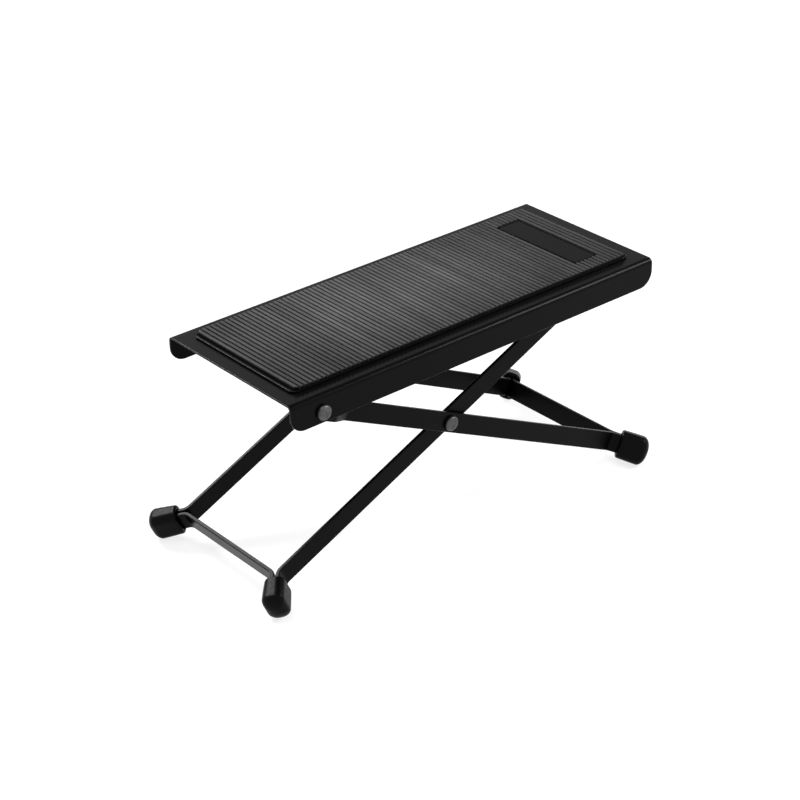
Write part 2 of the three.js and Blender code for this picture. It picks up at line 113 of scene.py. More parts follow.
class Body(Enum):
    """The bodies that pieces ride on."""

    PLATFORM = "platform"
    REAR_LEGS = "rear_legs"
    FRONT_LEGS = "front_legs"


class Side(Enum):
    """The two sides of the footrest, with the sign of Y on each."""

    NEAR = -1
    FAR = 1


class Pair(Enum):
    """The two pairs of legs, with their word in the names of pieces and nodes."""

    REAR = "rear"
    FRONT = "front"


class Operation(Enum):
    """What a Math node does with its two values."""

    ADD = "ADD"
    MULTIPLY = "MULTIPLY"
    LARGER = "MAXIMUM"


@dataclass(frozen=True)
class Placement:
    """A piece's side view in the model's frame.

    The side view's first axis runs along the piece, its second across the footrest, and its
    third away from the first, so a turn about the width axis and a shift place it.
    """

    body: Body
    origin_x: float
    origin_z: float
    turn: float

    def world(self, points: Array) -> Array:
        """Turns points about the width axis, shifts them and scales them to metres.

        Args:
            points: Places in the side view in millimetres, one to a row.

        Returns:
            The same places in the model's frame in metres.
        """
        cosine, sine = math.cos(self.turn), math.sin(self.turn)
        x = self.origin_x + cosine * points[:, 0] + sine * points[:, 2]
        z = self.origin_z - sine * points[:, 0] + cosine * points[:, 2]
        return np.stack([x, points[:, 1], z], axis=1) * MM


@dataclass(frozen=True)
class Shell:
    """Points, faces and rim shares of one closed surface."""

    points: Array
    faces: Faces
    edges: Array

    def turned_outwards(self) -> "Shell":
        """Turns every face over if the volume that they enclose comes out negative.

        The volume has the sign of a sum over a fan of triangles from each face: one corner's
        place, times the cross product of the other two.

        Returns:
            This surface, or a copy of it with its faces turned over.
        """
        triangles = np.array(
            [(f[0], f[k], f[k + 1]) for f in self.faces for k in range(1, len(f) - 1)]
        )
        a, b, c = (self.points[triangles[:, k]] for k in range(3))
        if np.einsum("ij,ij->i", a, np.cross(b, c)).sum() < 0:
            return replace(self, faces=turned(self.faces))
        return self

    def mirrored(self, side: Side) -> "Shell":
        """Flips the surface across the footrest for the near side."""
        return replace(self, points=self.points * [1, side.value, 1])

    def moved(self, along: float, down: float = 0.0) -> "Shell":
        """Shifts the surface along its side view, and down."""
        return replace(self, points=self.points + [along, 0, -down])


def joined(shells: Sequence[Shell]) -> Shell:
    """Puts several closed surfaces into one, with the later faces renumbered.

    Args:
        shells: The surfaces, in the order that their points take.

    Returns:
        The one surface.
    """
    starts = np.cumsum([0] + [len(s.points) for s in shells[:-1]])
    faces = [
        tuple(int(i + start) for i in face)
        for shell, start in zip(shells, starts)
        for face in shell.faces
    ]
    points = np.concatenate([s.points for s in shells])
    return Shell(points, faces, np.concatenate([s.edges for s in shells]))


def table(*columns: Array | float) -> Array:
    """Columns of equal length, or single values that repeat, side by side in one table."""
    return np.stack(np.broadcast_arrays(*columns), axis=1)


def turned(faces: Faces) -> Faces:
    """The same faces, turned over."""
    return [tuple(reversed(face)) for face in faces]


def border(numbers: Array) -> Array:
    """Goes once round the border of a grid of point numbers.

    Args:
        numbers: Point numbers, a row of the grid to a row.

    Returns:
        The point numbers on the way.
    """
    return np.concatenate(
        [numbers[0], numbers[1:, -1], numbers[-1, -2::-1], numbers[-2:0:-1, 0]]
    )


def quads_between(first: Array, second: Array, closed: bool) -> Faces:
    """Joins two rows of point numbers with a band of quads.

    Args:
        first: Point numbers of one row.
        second: Point numbers of the next row, of the same length.
        closed: Whether the band runs round and meets itself.

    Returns:
        The band's quads.
    """
    if closed:
        first, second = np.append(first, first[0]), np.append(second, second[0])
    band = np.stack([first[:-1], first[1:], second[1:], second[:-1]], axis=1)
    return [tuple(q) for q in band.tolist()]


def banded(rows: Array, closed_rows: bool, closed_columns: bool) -> Faces:
    """Fills a grid of point numbers with quads.

    Args:
        rows: Point numbers, a row of the grid to a row.
        closed_rows: Whether the last row joins the first.
        closed_columns: Whether the last column joins the first.

    Returns:
        The grid's quads.
    """
    order = np.vstack([rows, rows[:1]]) if closed_rows else rows
    return [
        quad
        for k in range(len(order) - 1)
        for quad in quads_between(order[k], order[k + 1], closed_columns)
    ]


def fan(pole: int, ring: Array, over: bool) -> Faces:
    """Closes a ring with triangles that meet at a pole, turned over if so asked."""
    pairs = zip(ring.tolist(), np.roll(ring, -1).tolist())
    return [(pole, b, a) if over else (pole, a, b) for a, b in pairs]


def capped(rings: Array, low: Triple, high: Triple) -> Shell:
    """A tube of rings that a fan of triangles closes at either end.

    Args:
        rings: The rings' points, as a grid of rings by points.
        low: The pole that closes the first ring.
        high: The pole that closes the last ring.

    Returns:
        The closed surface.
    """
    count = rings.shape[0] * rings.shape[1]
    numbers = np.arange(count).reshape(rings.shape[:2])
    faces = banded(numbers, False, True)
    faces += fan(count, numbers[0], True)
    faces += fan(count + 1, numbers[-1], False)
    points = np.vstack([rings.reshape(-1, 3), low, high])
    return Shell(points, faces, np.zeros(len(points)))


def lathe(profile: Array, closed: bool = False) -> Shell:
    """Turns a profile about the width axis.

    A point at radius r and height h goes to (r cos t, h, r sin t), with t in even steps. An
    open profile starts and ends on the axis, where fans of triangles close the poles.

    Args:
        profile: Radius and height of each point.
        closed: Whether the profile is a loop clear of the axis, as a washer's is.

    Returns:
        The closed surface.
    """
    rings = profile if closed else profile[1:-1]
    turn = np.arange(TURN_STEPS) * (2 * math.pi / TURN_STEPS)
    radius, height = rings[:, :1], rings[:, 1:]
    grid = np.stack(
        [radius * np.cos(turn), height + 0 * turn, radius * np.sin(turn)], axis=2
    )
    if not closed:
        return capped(grid, (0, profile[0, 1], 0), (0, profile[-1, 1], 0))
    points = grid.reshape(-1, 3)
    numbers = np.arange(len(points)).reshape(len(rings), TURN_STEPS)
    return Shell(points, banded(numbers, True, True), np.zeros(len(points)))


def arc(centre: tuple[float, float], radius: float, start: float, end: float, steps: int) -> Array:
    """Points of an arc: the centre plus radius times (cos t, sin t), t evenly from start to end."""
    t = np.linspace(start, end, steps + 1)
    return np.stack([centre[0] + radius * np.cos(t), centre[1] + radius * np.sin(t)], axis=1)


def rounded_rectangle(length: float, width: float, radius: float, steps: int = 6) -> Array:
    """A loop of four quarter arcs at the corners of a rectangle centred on nought.

    Args:
        length: Size along the first axis.
        width: Size along the second axis.
        radius: Radius of the corners.
        steps: Sides in each corner.

    Returns:
        The loop, anticlockwise.
    """
    x, y = length / 2 - radius, width / 2 - radius
    centres = [(x, -y, -1), (x, y, 0), (-x, y, 1), (-x, -y, 2)]
    return np.vstack(
        [arc((cx, cy), radius, k * QUARTER, (k + 1) * QUARTER, steps) for cx, cy, k in centres]
    )


def stacked(outline: Array, sections: Array) -> Shell:
    """A solid with the same outline at every level, drawn in by an inset at each.

    Every point of the outline moves inwards along the mean of its two sides' normals, which is
    lengthened at a corner so that both sides move by the inset. One face closes each end.

    Args:
        outline: The loop in plan, anticlockwise.
        sections: The inset, the level and the rim's share, a level to a row, lowest first.

    Returns:
        The closed surface, with the outline in its first two axes.
    """
    before = outline - np.roll(outline, 1, axis=0)
    after = np.roll(outline, -1, axis=0) - outline
    normals = []
    for run in (before, after):
        run = run / np.maximum(np.linalg.norm(run, axis=1, keepdims=True), LEAST_LENGTH)
        normals.append(np.stack([run[:, 1], -run[:, 0]], axis=1))
    dot = np.einsum("ij,ij->i", *normals)[:, None]
    out = (normals[0] + normals[1]) / np.maximum(1 + dot, LEAST_MITRE)
    rings = [
        np.column_stack([outline - out * inset, np.full(len(outline), level)])
        for inset, level, _ in sections
    ]
    points = np.vstack(rings)
    numbers = np.arange(len(points)).reshape(len(rings), len(outline))
    faces = banded(numbers, False, True)
    faces += [tuple(numbers[0, ::-1].tolist()), tuple(numbers[-1].tolist())]
    return Shell(points, faces, np.repeat(sections[:, 2], len(outline)))


def rounded_rims(low: float, high: float, edge: float, steps: int) -> Array:
    """Sections of a flat solid's sides, with a rounded rim at either face.

    Near a face the outline is drawn in by edge times one minus the sine of an angle, while the
    level stands off the face by edge times one minus its cosine, so the rim is a quarter
    circle. The rim's share is the sine of twice the angle.

    Args:
        low: Level of the lower face.
        high: Level of the upper face.
        edge: Radius of the rims.
        steps: Bands in each rim.

    Returns:
        The inset, the level and the rim's share, a level to a row, lowest first.
    """
    angle = np.linspace(0, QUARTER, steps + 1)
    inset = edge * (1 - np.sin(angle))
    rise = edge * (1 - np.cos(angle))
    share = np.sin(2 * angle)
    return np.vstack([table(inset, low + rise, share), table(inset, high - rise, share)[::-1]])


def plate(outline: Array, low: float, high: float, edge: float, steps: int = 4) -> Shell:
    """A flat plate with rounded rims.

    Args:
        outline: The loop in plan, anticlockwise.
        low: Level of the lower face.
        high: Level of the upper face.
        edge: Radius of the rims.
        steps: Bands in each rim.

    Returns:
        The closed surface, with the outline in its first two axes.
    """
    flat = edge * FACE_INSET
    rims = rounded_rims(low, high, edge, steps)
    return stacked(outline, np.vstack([[flat, low, 0], rims, [flat, high, 0]]))


@dataclass(frozen=True)
class SheetPlan:
    """The flat plan of a sheet before it is bent.

    Rows lie at stations along the sheet, each with a half width. The rim's outward direction
    at each row has a share along the sheet and a share across it. Each column keeps a fixed
    place across the sheet up to the last fixed one, and past it takes a share of the rest of
    the half width.
    """

    stations: Array
    half_widths: Array
    rim_along: Array
    rim_across: Array
    fixed: Array
    shares: Array

    def drawn_in(self, edge: float) -> tuple[Array, Array]:
        """The plan drawn in by the edge radius against the rim's outward direction.

        Args:
            edge: Radius of the rim.

        Returns:
            Places along and across, each as a grid.
        """
        along = self.stations - edge * self.rim_along
        width = self.half_widths - edge * self.rim_across
        last = self.fixed[-1]
        outer = last + (width[:, None] - last) * self.shares
        half = np.hstack([np.repeat(self.fixed[None], len(width), axis=0), outer])
        across = np.hstack([-half[:, :0:-1], half])
        return np.repeat(along[:, None], across.shape[1], axis=1), across

    def outwards(self, columns: int) -> tuple[Array, Array]:
        """The rim's outward direction at the border of the grid, and nought inside.

        Args:
            columns: Columns in the grid.

        Returns:
            Shares along and across, each as a grid.
        """
        along, across = np.zeros((2, len(self.stations), columns))
        along[:, 0] = self.rim_along
        along[:, -1] = self.rim_along
        across[:, 0] = -self.rim_across
        across[:, -1] = self.rim_across
        along[0, 1:-1], along[-1, 1:-1] = -1, 1
        return along, across

    def shell(self, thickness: float, edge: float, bend: Bending) -> Shell:
        """Bends the plan into a sheet of even thickness with a rounded rim.

        Both faces are the plan drawn in by the edge radius. Rings of the rim stand out from
        it by the radius times the sine of an angle, while their height falls off by its
        cosine, and their share of rim grows with the sine of twice the angle.

        Args:
            thickness: Thickness of the sheet.
            edge: Radius of the rim.
            bend: Turns places along, across and above the middle surface into points.

        Returns:
            The closed surface.
        """
        along, across = self.drawn_in(edge)
        numbers = np.arange(along.size).reshape(along.shape)
        loop = border(numbers)
        level = thickness / 2
        angle = np.linspace(0, QUARTER, SHEET_RIM_STEPS + 1)[1:]
        share = LEAST_RIM + (1 - LEAST_RIM) * np.sin(2 * angle)
        upper = table(edge * np.sin(angle), level - edge + edge * np.cos(angle), share)
        rings = np.vstack([upper, upper[::-1] * [1, -1, 1]])
        points = [
            bend(along.ravel(), across.ravel(), np.full(along.size, height))
            for height in (level, -level)
        ]
        grids = (along, across, *self.outwards(along.shape[1]))
        rim_along, rim_across, out_along, out_across = (g.ravel()[loop] for g in grids)
        for reach, height, _ in rings:
            places = rim_along + reach * out_along, rim_across + reach * out_across
            points.append(bend(*places, np.full(len(loop), height)))
        faces = banded(numbers, False, False)
        faces += turned(banded(numbers + along.size, False, False))
        start = 2 * along.size
        rim_numbers = start + np.arange(len(rings) * len(loop)).reshape(len(rings), -1)
        bands = np.vstack([loop, rim_numbers, loop + along.size])
        for first, second in zip(bands[:-1], bands[1:]):
            faces += quads_between(second, first, True)
        edges = np.concatenate([np.zeros(start), np.repeat(rings[:, 2], len(loop))])
        return Shell(np.vstack(points), faces, edges)


def rounded_ends(
    length: float, radius: float, widest: float, steps: int, start: float = 0.0
) -> Array:
    """Stations of a plan whose corners are quarter arcs.

    Near an end the station is radius times one minus the cosine of an angle, and the half
    width is the widest less radius times one minus the angle's sine.

    Args:
        length: Length of the plan.
        radius: Radius of the corners.
        widest: Half width between the corners.
        steps: Rows in each corner.
        start: Angle of the first row, above nought where the corners meet in a round end.

    Returns:
        Four rows: stations, half widths, and the rim's direction along and across.
    """
    angle = np.linspace(start, QUARTER, steps + 1)
    near = radius * (1 - np.cos(angle))
    width = widest - radius * (1 - np.sin(angle))
    first = np.stack([near, width, -np.cos(angle), np.sin(angle)])
    last = np.stack([length - near, width, np.cos(angle), np.sin(angle)])
    return np.hstack([first, last[:, ::-1]])


@dataclass(frozen=True)
class Ramp:
    """Values from low to high become first to last, and are held beyond either end."""

    low: float
    high: float
    first: float = 0.0
    last: float | Socket = 1.0

    def about(self, middle: float, spread: float) -> "Ramp":
        """The same ramp, from the spread below a middle value to the spread above it."""
        return Ramp(self.low, self.high, middle - spread, middle + spread)


WHOLE = Ramp(0.0, 1.0)


@dataclass(frozen=True)
class Pattern:
    """A noise over metres: its scale, detail, ramp, and stretch along the axes if any."""

    scale: float
    detail: float
    ramp: Ramp = Ramp(0.3, 0.7)
    stretch: Triple | None = None


class Nodes:
    """The nodes of a material or a world, added and linked in a short way."""

    def __init__(
        self, owner: bpy.types.Material | bpy.types.World, shader: str = "Principled BSDF"
    ) -> None:
        """Turns the owner's nodes on, finds its shader and adds its coordinates.

        Args:
            owner: The material or the world.
            shader: Name of the shader that it starts with.
        """
        owner.use_nodes = True
        self.owner = owner
        self.tree = owner.node_tree
        self.shader = self.tree.nodes[shader]
        self.places = self.add("ShaderNodeTexCoord").outputs

    def feed(self, target: Socket, value: object) -> None:
        """Links a socket to the target, or sets the target to a constant.

        Args:
            target: The input.
            value: The socket or the constant.
        """
        if isinstance(value, Socket):
            self.tree.links.new(value, target)
        else:
            target.default_value = value

    def add(
        self, kind: str, inputs: dict[str | int, object] | None = None, **settings: object
    ) -> bpy.types.Node:
        """Adds a node.

        Args:
            kind: The node's type.
            inputs: Sockets or constants for its inputs, by name or number.
            settings: Its own settings.

        Returns:
            The node.
        """
        node = self.tree.nodes.new(kind)
        for key, value in settings.items():
            setattr(node, key, value)
        for key, value in (inputs or {}).items():
            self.feed(node.inputs[key], value)
        return node

    def set(self, **values: object) -> None:
        """Feeds the shader's own sockets, with underscores for the spaces in their names."""
        for key, value in values.items():
            self.feed(self.shader.inputs[key.replace("_", " ")], value)

    def noise(self, pattern: Pattern) -> Socket:
        """Adds a pattern's noise, without its ramp.

        Args:
            pattern: The pattern.

        Returns:
            The noise's value.
        """
        place = self.places["Object"]
        if pattern.stretch is not None:
            stretched = {"Vector": place, "Scale": pattern.stretch}
            place = self.add("ShaderNodeMapping", stretched).outputs["Vector"]
        inputs = {"Vector": place, "Scale": pattern.scale, "Detail": pattern.detail}
        return self.add("ShaderNodeTexNoise", inputs).outputs["Fac"]

    def ramp(self, source: Socket, ramp: Ramp) -> Socket:
        """Maps a value by a ramp.

        Args:
            source: The value.
            ramp: The ramp.

        Returns:
            The value that comes out.
        """
        inputs = {
            "Value": source,
            "From Min": ramp.low,
            "From Max": ramp.high,
            "To Min": ramp.first,
            "To Max": ramp.last,
        }
        return self.add("ShaderNodeMapRange", inputs, clamp=True).outputs["Result"]

    def pattern(self, pattern: Pattern) -> Socket:
        """Adds a pattern's noise with its ramp."""
        return self.ramp(self.noise(pattern), pattern.ramp)

    def maths(self, operation: Operation, first: Socket, second: Socket) -> Socket:
        """Adds a Math node on two values."""
        values = {0: first, 1: second}
        return self.add("ShaderNodeMath", values, operation=operation.value).outputs["Value"]

    def mix(self, share: Socket, first: Socket | Colour, second: Socket | Colour) -> Socket:
        """Mixes two colours by a share.

        The node has sockets of the same name for other kinds of value, so the colours' own
        are found by their kind.

        Args:
            share: Share of the second colour.
            first: The colour at nought.
            second: The colour at one.

        Returns:
            The mixed colour.
        """
        node = self.add("ShaderNodeMix", {"Factor": share}, data_type="RGBA")
        sockets = [s for s in node.inputs if s.type == "RGBA"]
        for socket, colour in zip(sockets, (first, second)):
            self.feed(socket, colour)
        return next(s for s in node.outputs if s.type == "RGBA")

    def bump(self, height: Socket, depth: float) -> Socket:
        """Turns a height share into a bump of a depth in millimetres."""
        inputs = {"Height": height, "Distance": depth * MM, "Strength": 1.0}
        return self.add("ShaderNodeBump", inputs).outputs["Normal"]

    def attribute(self, name: str) -> Socket:
        """A share that each mesh holds at its points."""
        return self.add("ShaderNodeAttribute", attribute_name=name).outputs["Fac"]

    def distance(self, place: Socket) -> Socket:
        """How far a place is from the origin."""
        return self.add("ShaderNodeVectorMath", {0: place}, operation="LENGTH").outputs["Value"]


def grey(value: float, warmth: float = 0.0) -> Colour:
    """A linear colour from a display grey.

    The grey's share of full white goes through the usual display curve: a straight line in
    the darks, and above them a power of 2.4 of a slightly shifted share.

    Args:
        value: The grey as displayed, from 0 to 255.
        warmth: Share by which the red is raised and the blue lowered.

    Returns:
        The colour, opaque.
    """
    level = value / FULL_WHITE
    linear = ((level + CURVE_SHIFT) / (1 + CURVE_SHIFT)) ** CURVE_POWER
    if level <= DARK_END:
        linear = level / DARK_SLOPE
    return (linear * (1 + warmth), linear, linear * (1 - warmth), 1.0)


@dataclass(frozen=True)
class PowderCoat:
    """Satin powder coat: fine orange peel, faint clouding, and rims a shade lighter, partly scuffed
    and partly a painted highlight along the edges.

    Greys are display greys, and the spreads are how far the clouding and the specks take the
    grey and the roughness up and down.
    """

    name: str
    colour: float = 14.0
    # Grey of the rims: scuffing, and a painted highlight along the edges.
    rim_wear_and_highlight: float = 96.0
    roughness: float = 0.24
    specular: float = 0.056
    cloud: Pattern = Pattern(28, 4)
    speck: Pattern = Pattern(900, 2, Ramp(0.35, 0.65))
    rim_patches: Pattern = Pattern(160, 3, Ramp(0.3, 0.6))
    peel: Pattern = Pattern(1100, 2)
    peel_depth: float = 0.012
    grey_spread: float = 1.5
    speck_spread: float = 0.03
    cloud_spread: float = 0.02

    def build(self) -> bpy.types.Material:
        """Builds the node material.

        Returns:
            The material.
        """
        nodes = Nodes(bpy.data.materials.new(self.name))
        cloud = nodes.pattern(self.cloud)
        speck = nodes.pattern(self.speck)
        # The rims' lighter grey is partly scuffing and partly a painted highlight along the edges.
        wear_and_highlight = nodes.maths(Operation.MULTIPLY, nodes.attribute(RIM), nodes.pattern(self.rim_patches))
        darker, lighter = self.colour - self.grey_spread, self.colour + self.grey_spread
        base = nodes.mix(cloud, grey(darker), grey(lighter))
        rough = nodes.maths(
            Operation.ADD,
            nodes.ramp(speck, WHOLE.about(self.roughness, self.speck_spread)),
            nodes.ramp(cloud, WHOLE.about(0.0, self.cloud_spread)),
        )
        nodes.set(
            Base_Color=nodes.mix(wear_and_highlight, base, grey(self.rim_wear_and_highlight)),
            Roughness=rough,
            Normal=nodes.bump(nodes.noise(self.peel), self.peel_depth),
            Specular_IOR_Level=self.specular,
        )
        return nodes.owner


@dataclass(frozen=True)
class Rubber:
    """Moulded rubber: a fine grain, a dusty grey in soft patches, and glossier moulded rims.

    On a tread the dusty grey also paints light and shade: it lies on the crowns only, with the walls
    and roots in painted shade, and a painted sheen makes it strongest in the middle. It differs a
    little from rib to rib.
    """

    name: str
    colour: float
    # Grey of the dust, which on a tread also paints lit crowns and a sheen.
    dust_and_sheen: float
    roughness: float
    specular: float = 0.4
    bloom_warmth: float = 0.006
    patches: Pattern = Pattern(16, 3, Ramp(0.38, 0.66))
    dust: Pattern = Pattern(420, 3, Ramp(0.3, 0.7, 0.45, 1.0))
    grain: Pattern = Pattern(1500, 3)
    grain_depth: float = 0.02
    grain_spread: float = 0.06
    rim_start: float = 0.2
    rim_gloss: float = 0.5
    tread: bool = False
    tread_dust: Ramp = Ramp(0.0, 1.0, 0.7, 1.0)
    # A painted sheen: the share falls off from the tread's middle over its reach.
    sheen_falloff: Ramp = Ramp(0.15, 1.05, 1.0, 0.38)
    tread_streaks: Pattern = Pattern(1, 2, Ramp(0.32, 0.68, 0.62, 1.0), (210, 9, 1))
    sheen_centre: Triple = (0.002, 0.01, 0.13)
    sheen_reach: Triple = (0.12, 0.062, 1.0)

    def tread_dust_and_light(self, nodes: Nodes) -> Socket:
        """Share of dusty grey over a tread: crowns, times a soft middle patch of painted sheen,
        times streaks.

        The patch falls off with the distance from the tread's centre, measured in the patch's
        own reach along and across the footrest.

        Args:
            nodes: The material's nodes.

        Returns:
            The share.
        """
        patch = {
            "Vector": nodes.places["Object"],
            "Location": self.sheen_centre,
            "Scale": self.sheen_reach,
        }
        mapping = nodes.add("ShaderNodeMapping", patch, vector_type="TEXTURE")
        middle = nodes.ramp(nodes.distance(mapping.outputs["Vector"]), self.sheen_falloff)
        crowns = nodes.maths(Operation.MULTIPLY, nodes.attribute(CROWN_DUST_AND_LIGHT), middle)
        return nodes.maths(Operation.MULTIPLY, crowns, nodes.pattern(self.tread_streaks))

    def build(self) -> bpy.types.Material:
        """Builds the node material.

        Returns:
            The material.
        """
        nodes = Nodes(bpy.data.materials.new(self.name))
        grain = nodes.noise(self.grain)
        dust = nodes.maths(Operation.MULTIPLY, nodes.pattern(self.patches), nodes.pattern(self.dust))
        # On a tread the dusty grey's share paints light as well: lit crowns, walls and roots in
        # painted shade, and a painted sheen in the middle.
        if self.tread:
            settled = nodes.ramp(dust, self.tread_dust)
            dust = nodes.maths(Operation.MULTIPLY, self.tread_dust_and_light(nodes), settled)
        rough = nodes.ramp(grain, self.grain.ramp.about(self.roughness, self.grain_spread))
        rim = Ramp(self.rim_start, 1.0, 1.0, self.rim_gloss)
        nodes.set(
            Base_Color=nodes.mix(dust, grey(self.colour), grey(self.dust_and_sheen, self.bloom_warmth)),
            Roughness=nodes.maths(Operation.MULTIPLY, rough, nodes.ramp(nodes.attribute(RIM), rim)),
            Normal=nodes.bump(grain, self.grain_depth),
            Specular_IOR_Level=self.specular,
        )
        return nodes.owner


@dataclass(frozen=True)
class PlatedSteel:
    """Plated steel: fine scuffs along one axis and duller patches."""

    name: str
    colour: float
    dull: float
    roughness: float
    metallic: float = 0.85
    patches: Pattern = Pattern(240, 3, Ramp(0.35, 0.65))
    scuffs: Pattern = Pattern(900, 2, stretch=(1, 0.15, 1))
    scuff_depth: float = 0.008
    scuff_spread: float = 0.08

    def build(self) -> bpy.types.Material:
        """Builds the node material.

        Returns:
            The material.
        """
        nodes = Nodes(bpy.data.materials.new(self.name))
        scuffs = nodes.noise(self.scuffs)
        spread = self.scuffs.ramp.about(self.roughness, self.scuff_spread)
        nodes.set(
            Base_Color=nodes.mix(nodes.pattern(self.patches), grey(self.colour), grey(self.dull)),
            Roughness=nodes.ramp(scuffs, spread),
            Normal=nodes.bump(scuffs, self.scuff_depth),
            Metallic=self.metallic,
        )
        return nodes.owner


@dataclass(frozen=True)
class SatinPlate:
    """A moulded badge blank: smooth dark satin, with a faint waviness and fine dust."""

    name: str
    colour: float = 12.0
    roughness: float = 0.3
    specular: float = 0.034
    dust: Pattern = Pattern(700, 3, Ramp(0.55, 0.8))
    dust_grey: float = 6.0
    dust_roughness: float = 0.08
    waves: Pattern = Pattern(90, 1)
    wave_depth: float = 0.02

    def build(self) -> bpy.types.Material:
        """Builds the node material.

        Returns:
            The material.
        """
        nodes = Nodes(bpy.data.materials.new(self.name))
        dust = nodes.pattern(self.dust)
        rough = Ramp(0.0, 1.0, self.roughness, self.roughness + self.dust_roughness)
        nodes.set(
            Base_Color=nodes.mix(dust, grey(self.colour), grey(self.colour + self.dust_grey)),
            Roughness=nodes.ramp(dust, rough),
            Normal=nodes.bump(nodes.noise(self.waves), self.wave_depth),
            Specular_IOR_Level=self.specular,
        )
        return nodes.owner


FINISHES = {
    Slot.PLATFORM: PowderCoat("platform_powder_coat"),
    Slot.LEGS: PowderCoat("leg_powder_coat", colour=7.0, rim_wear_and_highlight=26.0, roughness=0.29, specular=0.066),
    Slot.RACKS: PowderCoat("rack_powder_coat", colour=12.0, rim_wear_and_highlight=50.0, roughness=0.36),
    Slot.RIVETS: PlatedSteel("rivet_plating", colour=96, dull=72, roughness=0.42),
    Slot.ZINC: PlatedSteel("zinc_plating", colour=176, dull=150, roughness=0.34),
    # The pad's light grey is dust, and painted light on its crowns and middle.
    Slot.PAD: Rubber("ribbed_rubber", colour=9, dust_and_sheen=108, roughness=0.46, specular=0.1, tread=True),
    Slot.BADGE: SatinPlate("badge_satin"),
    Slot.CAPS: Rubber(
        "cap_rubber_skin",
        colour=4,
        dust_and_sheen=10,
        roughness=0.36,
        specular=0.07,
        grain=Pattern(750, 3),
        grain_depth=0.022,
    ),
}


def in_scene(name: str, data: bpy.types.ID) -> bpy.types.Object:
    """Makes an object of a mesh, a lamp or a camera and links it to the scene.

    Args:
        name: Name of the object.
        data: What the object shows.

    Returns:
        The object, at the origin.
    """
    thing = bpy.data.objects.new(name, data)
    bpy.context.scene.collection.objects.link(thing)
    return thing


def marked(mesh: bpy.types.Mesh, name: str, shares: Array) -> None:
    """Writes a share at each point into a mesh."""
    attribute = mesh.attributes.new(name, "FLOAT", "POINT")
    attribute.data.foreach_set("value", shares.astype(np.float32))


def standing(axes: Sequence[Array], place: Sequence[float]) -> Matrix:
    """The matrix of an object that stands at a place with its own axes as given.

    Args:
        axes: Directions of its three axes.
        place: Its place in metres.

    Returns:
        The matrix, with the axes and the place as its columns.
    """
    matrix = np.identity(4)
    matrix[:3, :3] = np.stack(axes, axis=1)
    matrix[:3, 3] = place
    return Matrix(matrix.tolist())


@dataclass
class Workshop:
    """Makes finished pieces out of shells and keeps the finishes that they share."""

    materials: dict[Slot, bpy.types.Material] = field(default_factory=dict)

    def finish(self, slot: Slot) -> bpy.types.Material:
        """The material of a slot, built the first time that it is asked for.

        Args:
            slot: The slot.

        Returns:
            The material.
        """
        if slot not in self.materials:
            self.materials[slot] = FINISHES[slot].build()
        return self.materials[slot]

    def piece(
        self, name: str, shell: Shell, placement: Placement, slot: Slot, nodes: Sequence[str]
    ) -> bpy.types.Object:
        """Makes a shell a finished object that rides on its body.

        Args:
            name: Name of the piece.
            shell: The closed surface in the placement's side view.
            placement: Where the side view lies and what it rides on.
            slot: The finish.
            nodes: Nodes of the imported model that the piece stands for.

        Returns:
            The object, at the origin with its place in its mesh.
        """
        placed = replace(shell, points=placement.world(shell.points)).turned_outwards()
        mesh = bpy.data.meshes.new(name)
        mesh.from_pydata(placed.points.tolist(), [], placed.faces)
        marked(mesh, RIM, placed.edges)
        mesh.shade_smooth()
        mesh.set_sharp_from_angle(angle=SHARP_ANGLE)
        mesh.materials.append(self.finish(slot))
        mesh.update()
        piece = in_scene(name, mesh)
        weighted = piece.modifiers.new("even_shading", "WEIGHTED_NORMAL")
        weighted.keep_sharp = True
        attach(piece, placement.body.value)
        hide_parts(*nodes)
        LOG.info("%s: %d faces on %s", name, len(placed.faces), placement.body.value)
        return piece


@dataclass(frozen=True)
class Linkage:
    """The three side views, found from the joints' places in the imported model.

    In a full fold the rear legs turn by one angle on the platform, and the front legs by the
    other against it, the opposite way.
    """

    rear_angle: float = math.radians(25.8)
    front_angle: float = math.radians(24.1)
    pivot_inset: float = 21.5
    pivot_drop: float = 10.4
    rear_fold: float = math.radians(23.0)
    front_fold: float = math.radians(26.7)

    def joint(self, name: str) -> tuple[float, float]:
        """A joint's place along and up, in millimetres."""
        found = next(j for j in frame["joints"] if j["name"] == name)
        return found["pos_m"][0] / MM, found["pos_m"][2] / MM

    def placements(self) -> dict[Body, Placement]:
        """Works out where each body's side view lies.

        The rear arms run from the pivot to the scissor, the platform is turned back from
        them by the rear angle, and the front arms point the other way by the front angle.

        Returns:
            The placement of each body.
        """
        pivot, scissor = self.joint("rear_legs_fold"), self.joint("front_legs_fold")
        rear = math.atan2(pivot[1] - scissor[1], scissor[0] - pivot[0])
        tilt = self.rear_angle - rear
        front = math.pi - self.front_angle - tilt
        cosine, sine = math.cos(tilt), math.sin(tilt)
        x = pivot[0] - self.pivot_inset * cosine - self.pivot_drop * sine
        z = pivot[1] - self.pivot_inset * sine + self.pivot_drop * cosine
        return {
            Body.PLATFORM: Placement(Body.PLATFORM, x, z, -tilt),
            Body.REAR_LEGS: Placement(Body.REAR_LEGS, *pivot, rear),
            Body.FRONT_LEGS: Placement(Body.FRONT_LEGS, *scissor, front),
        }


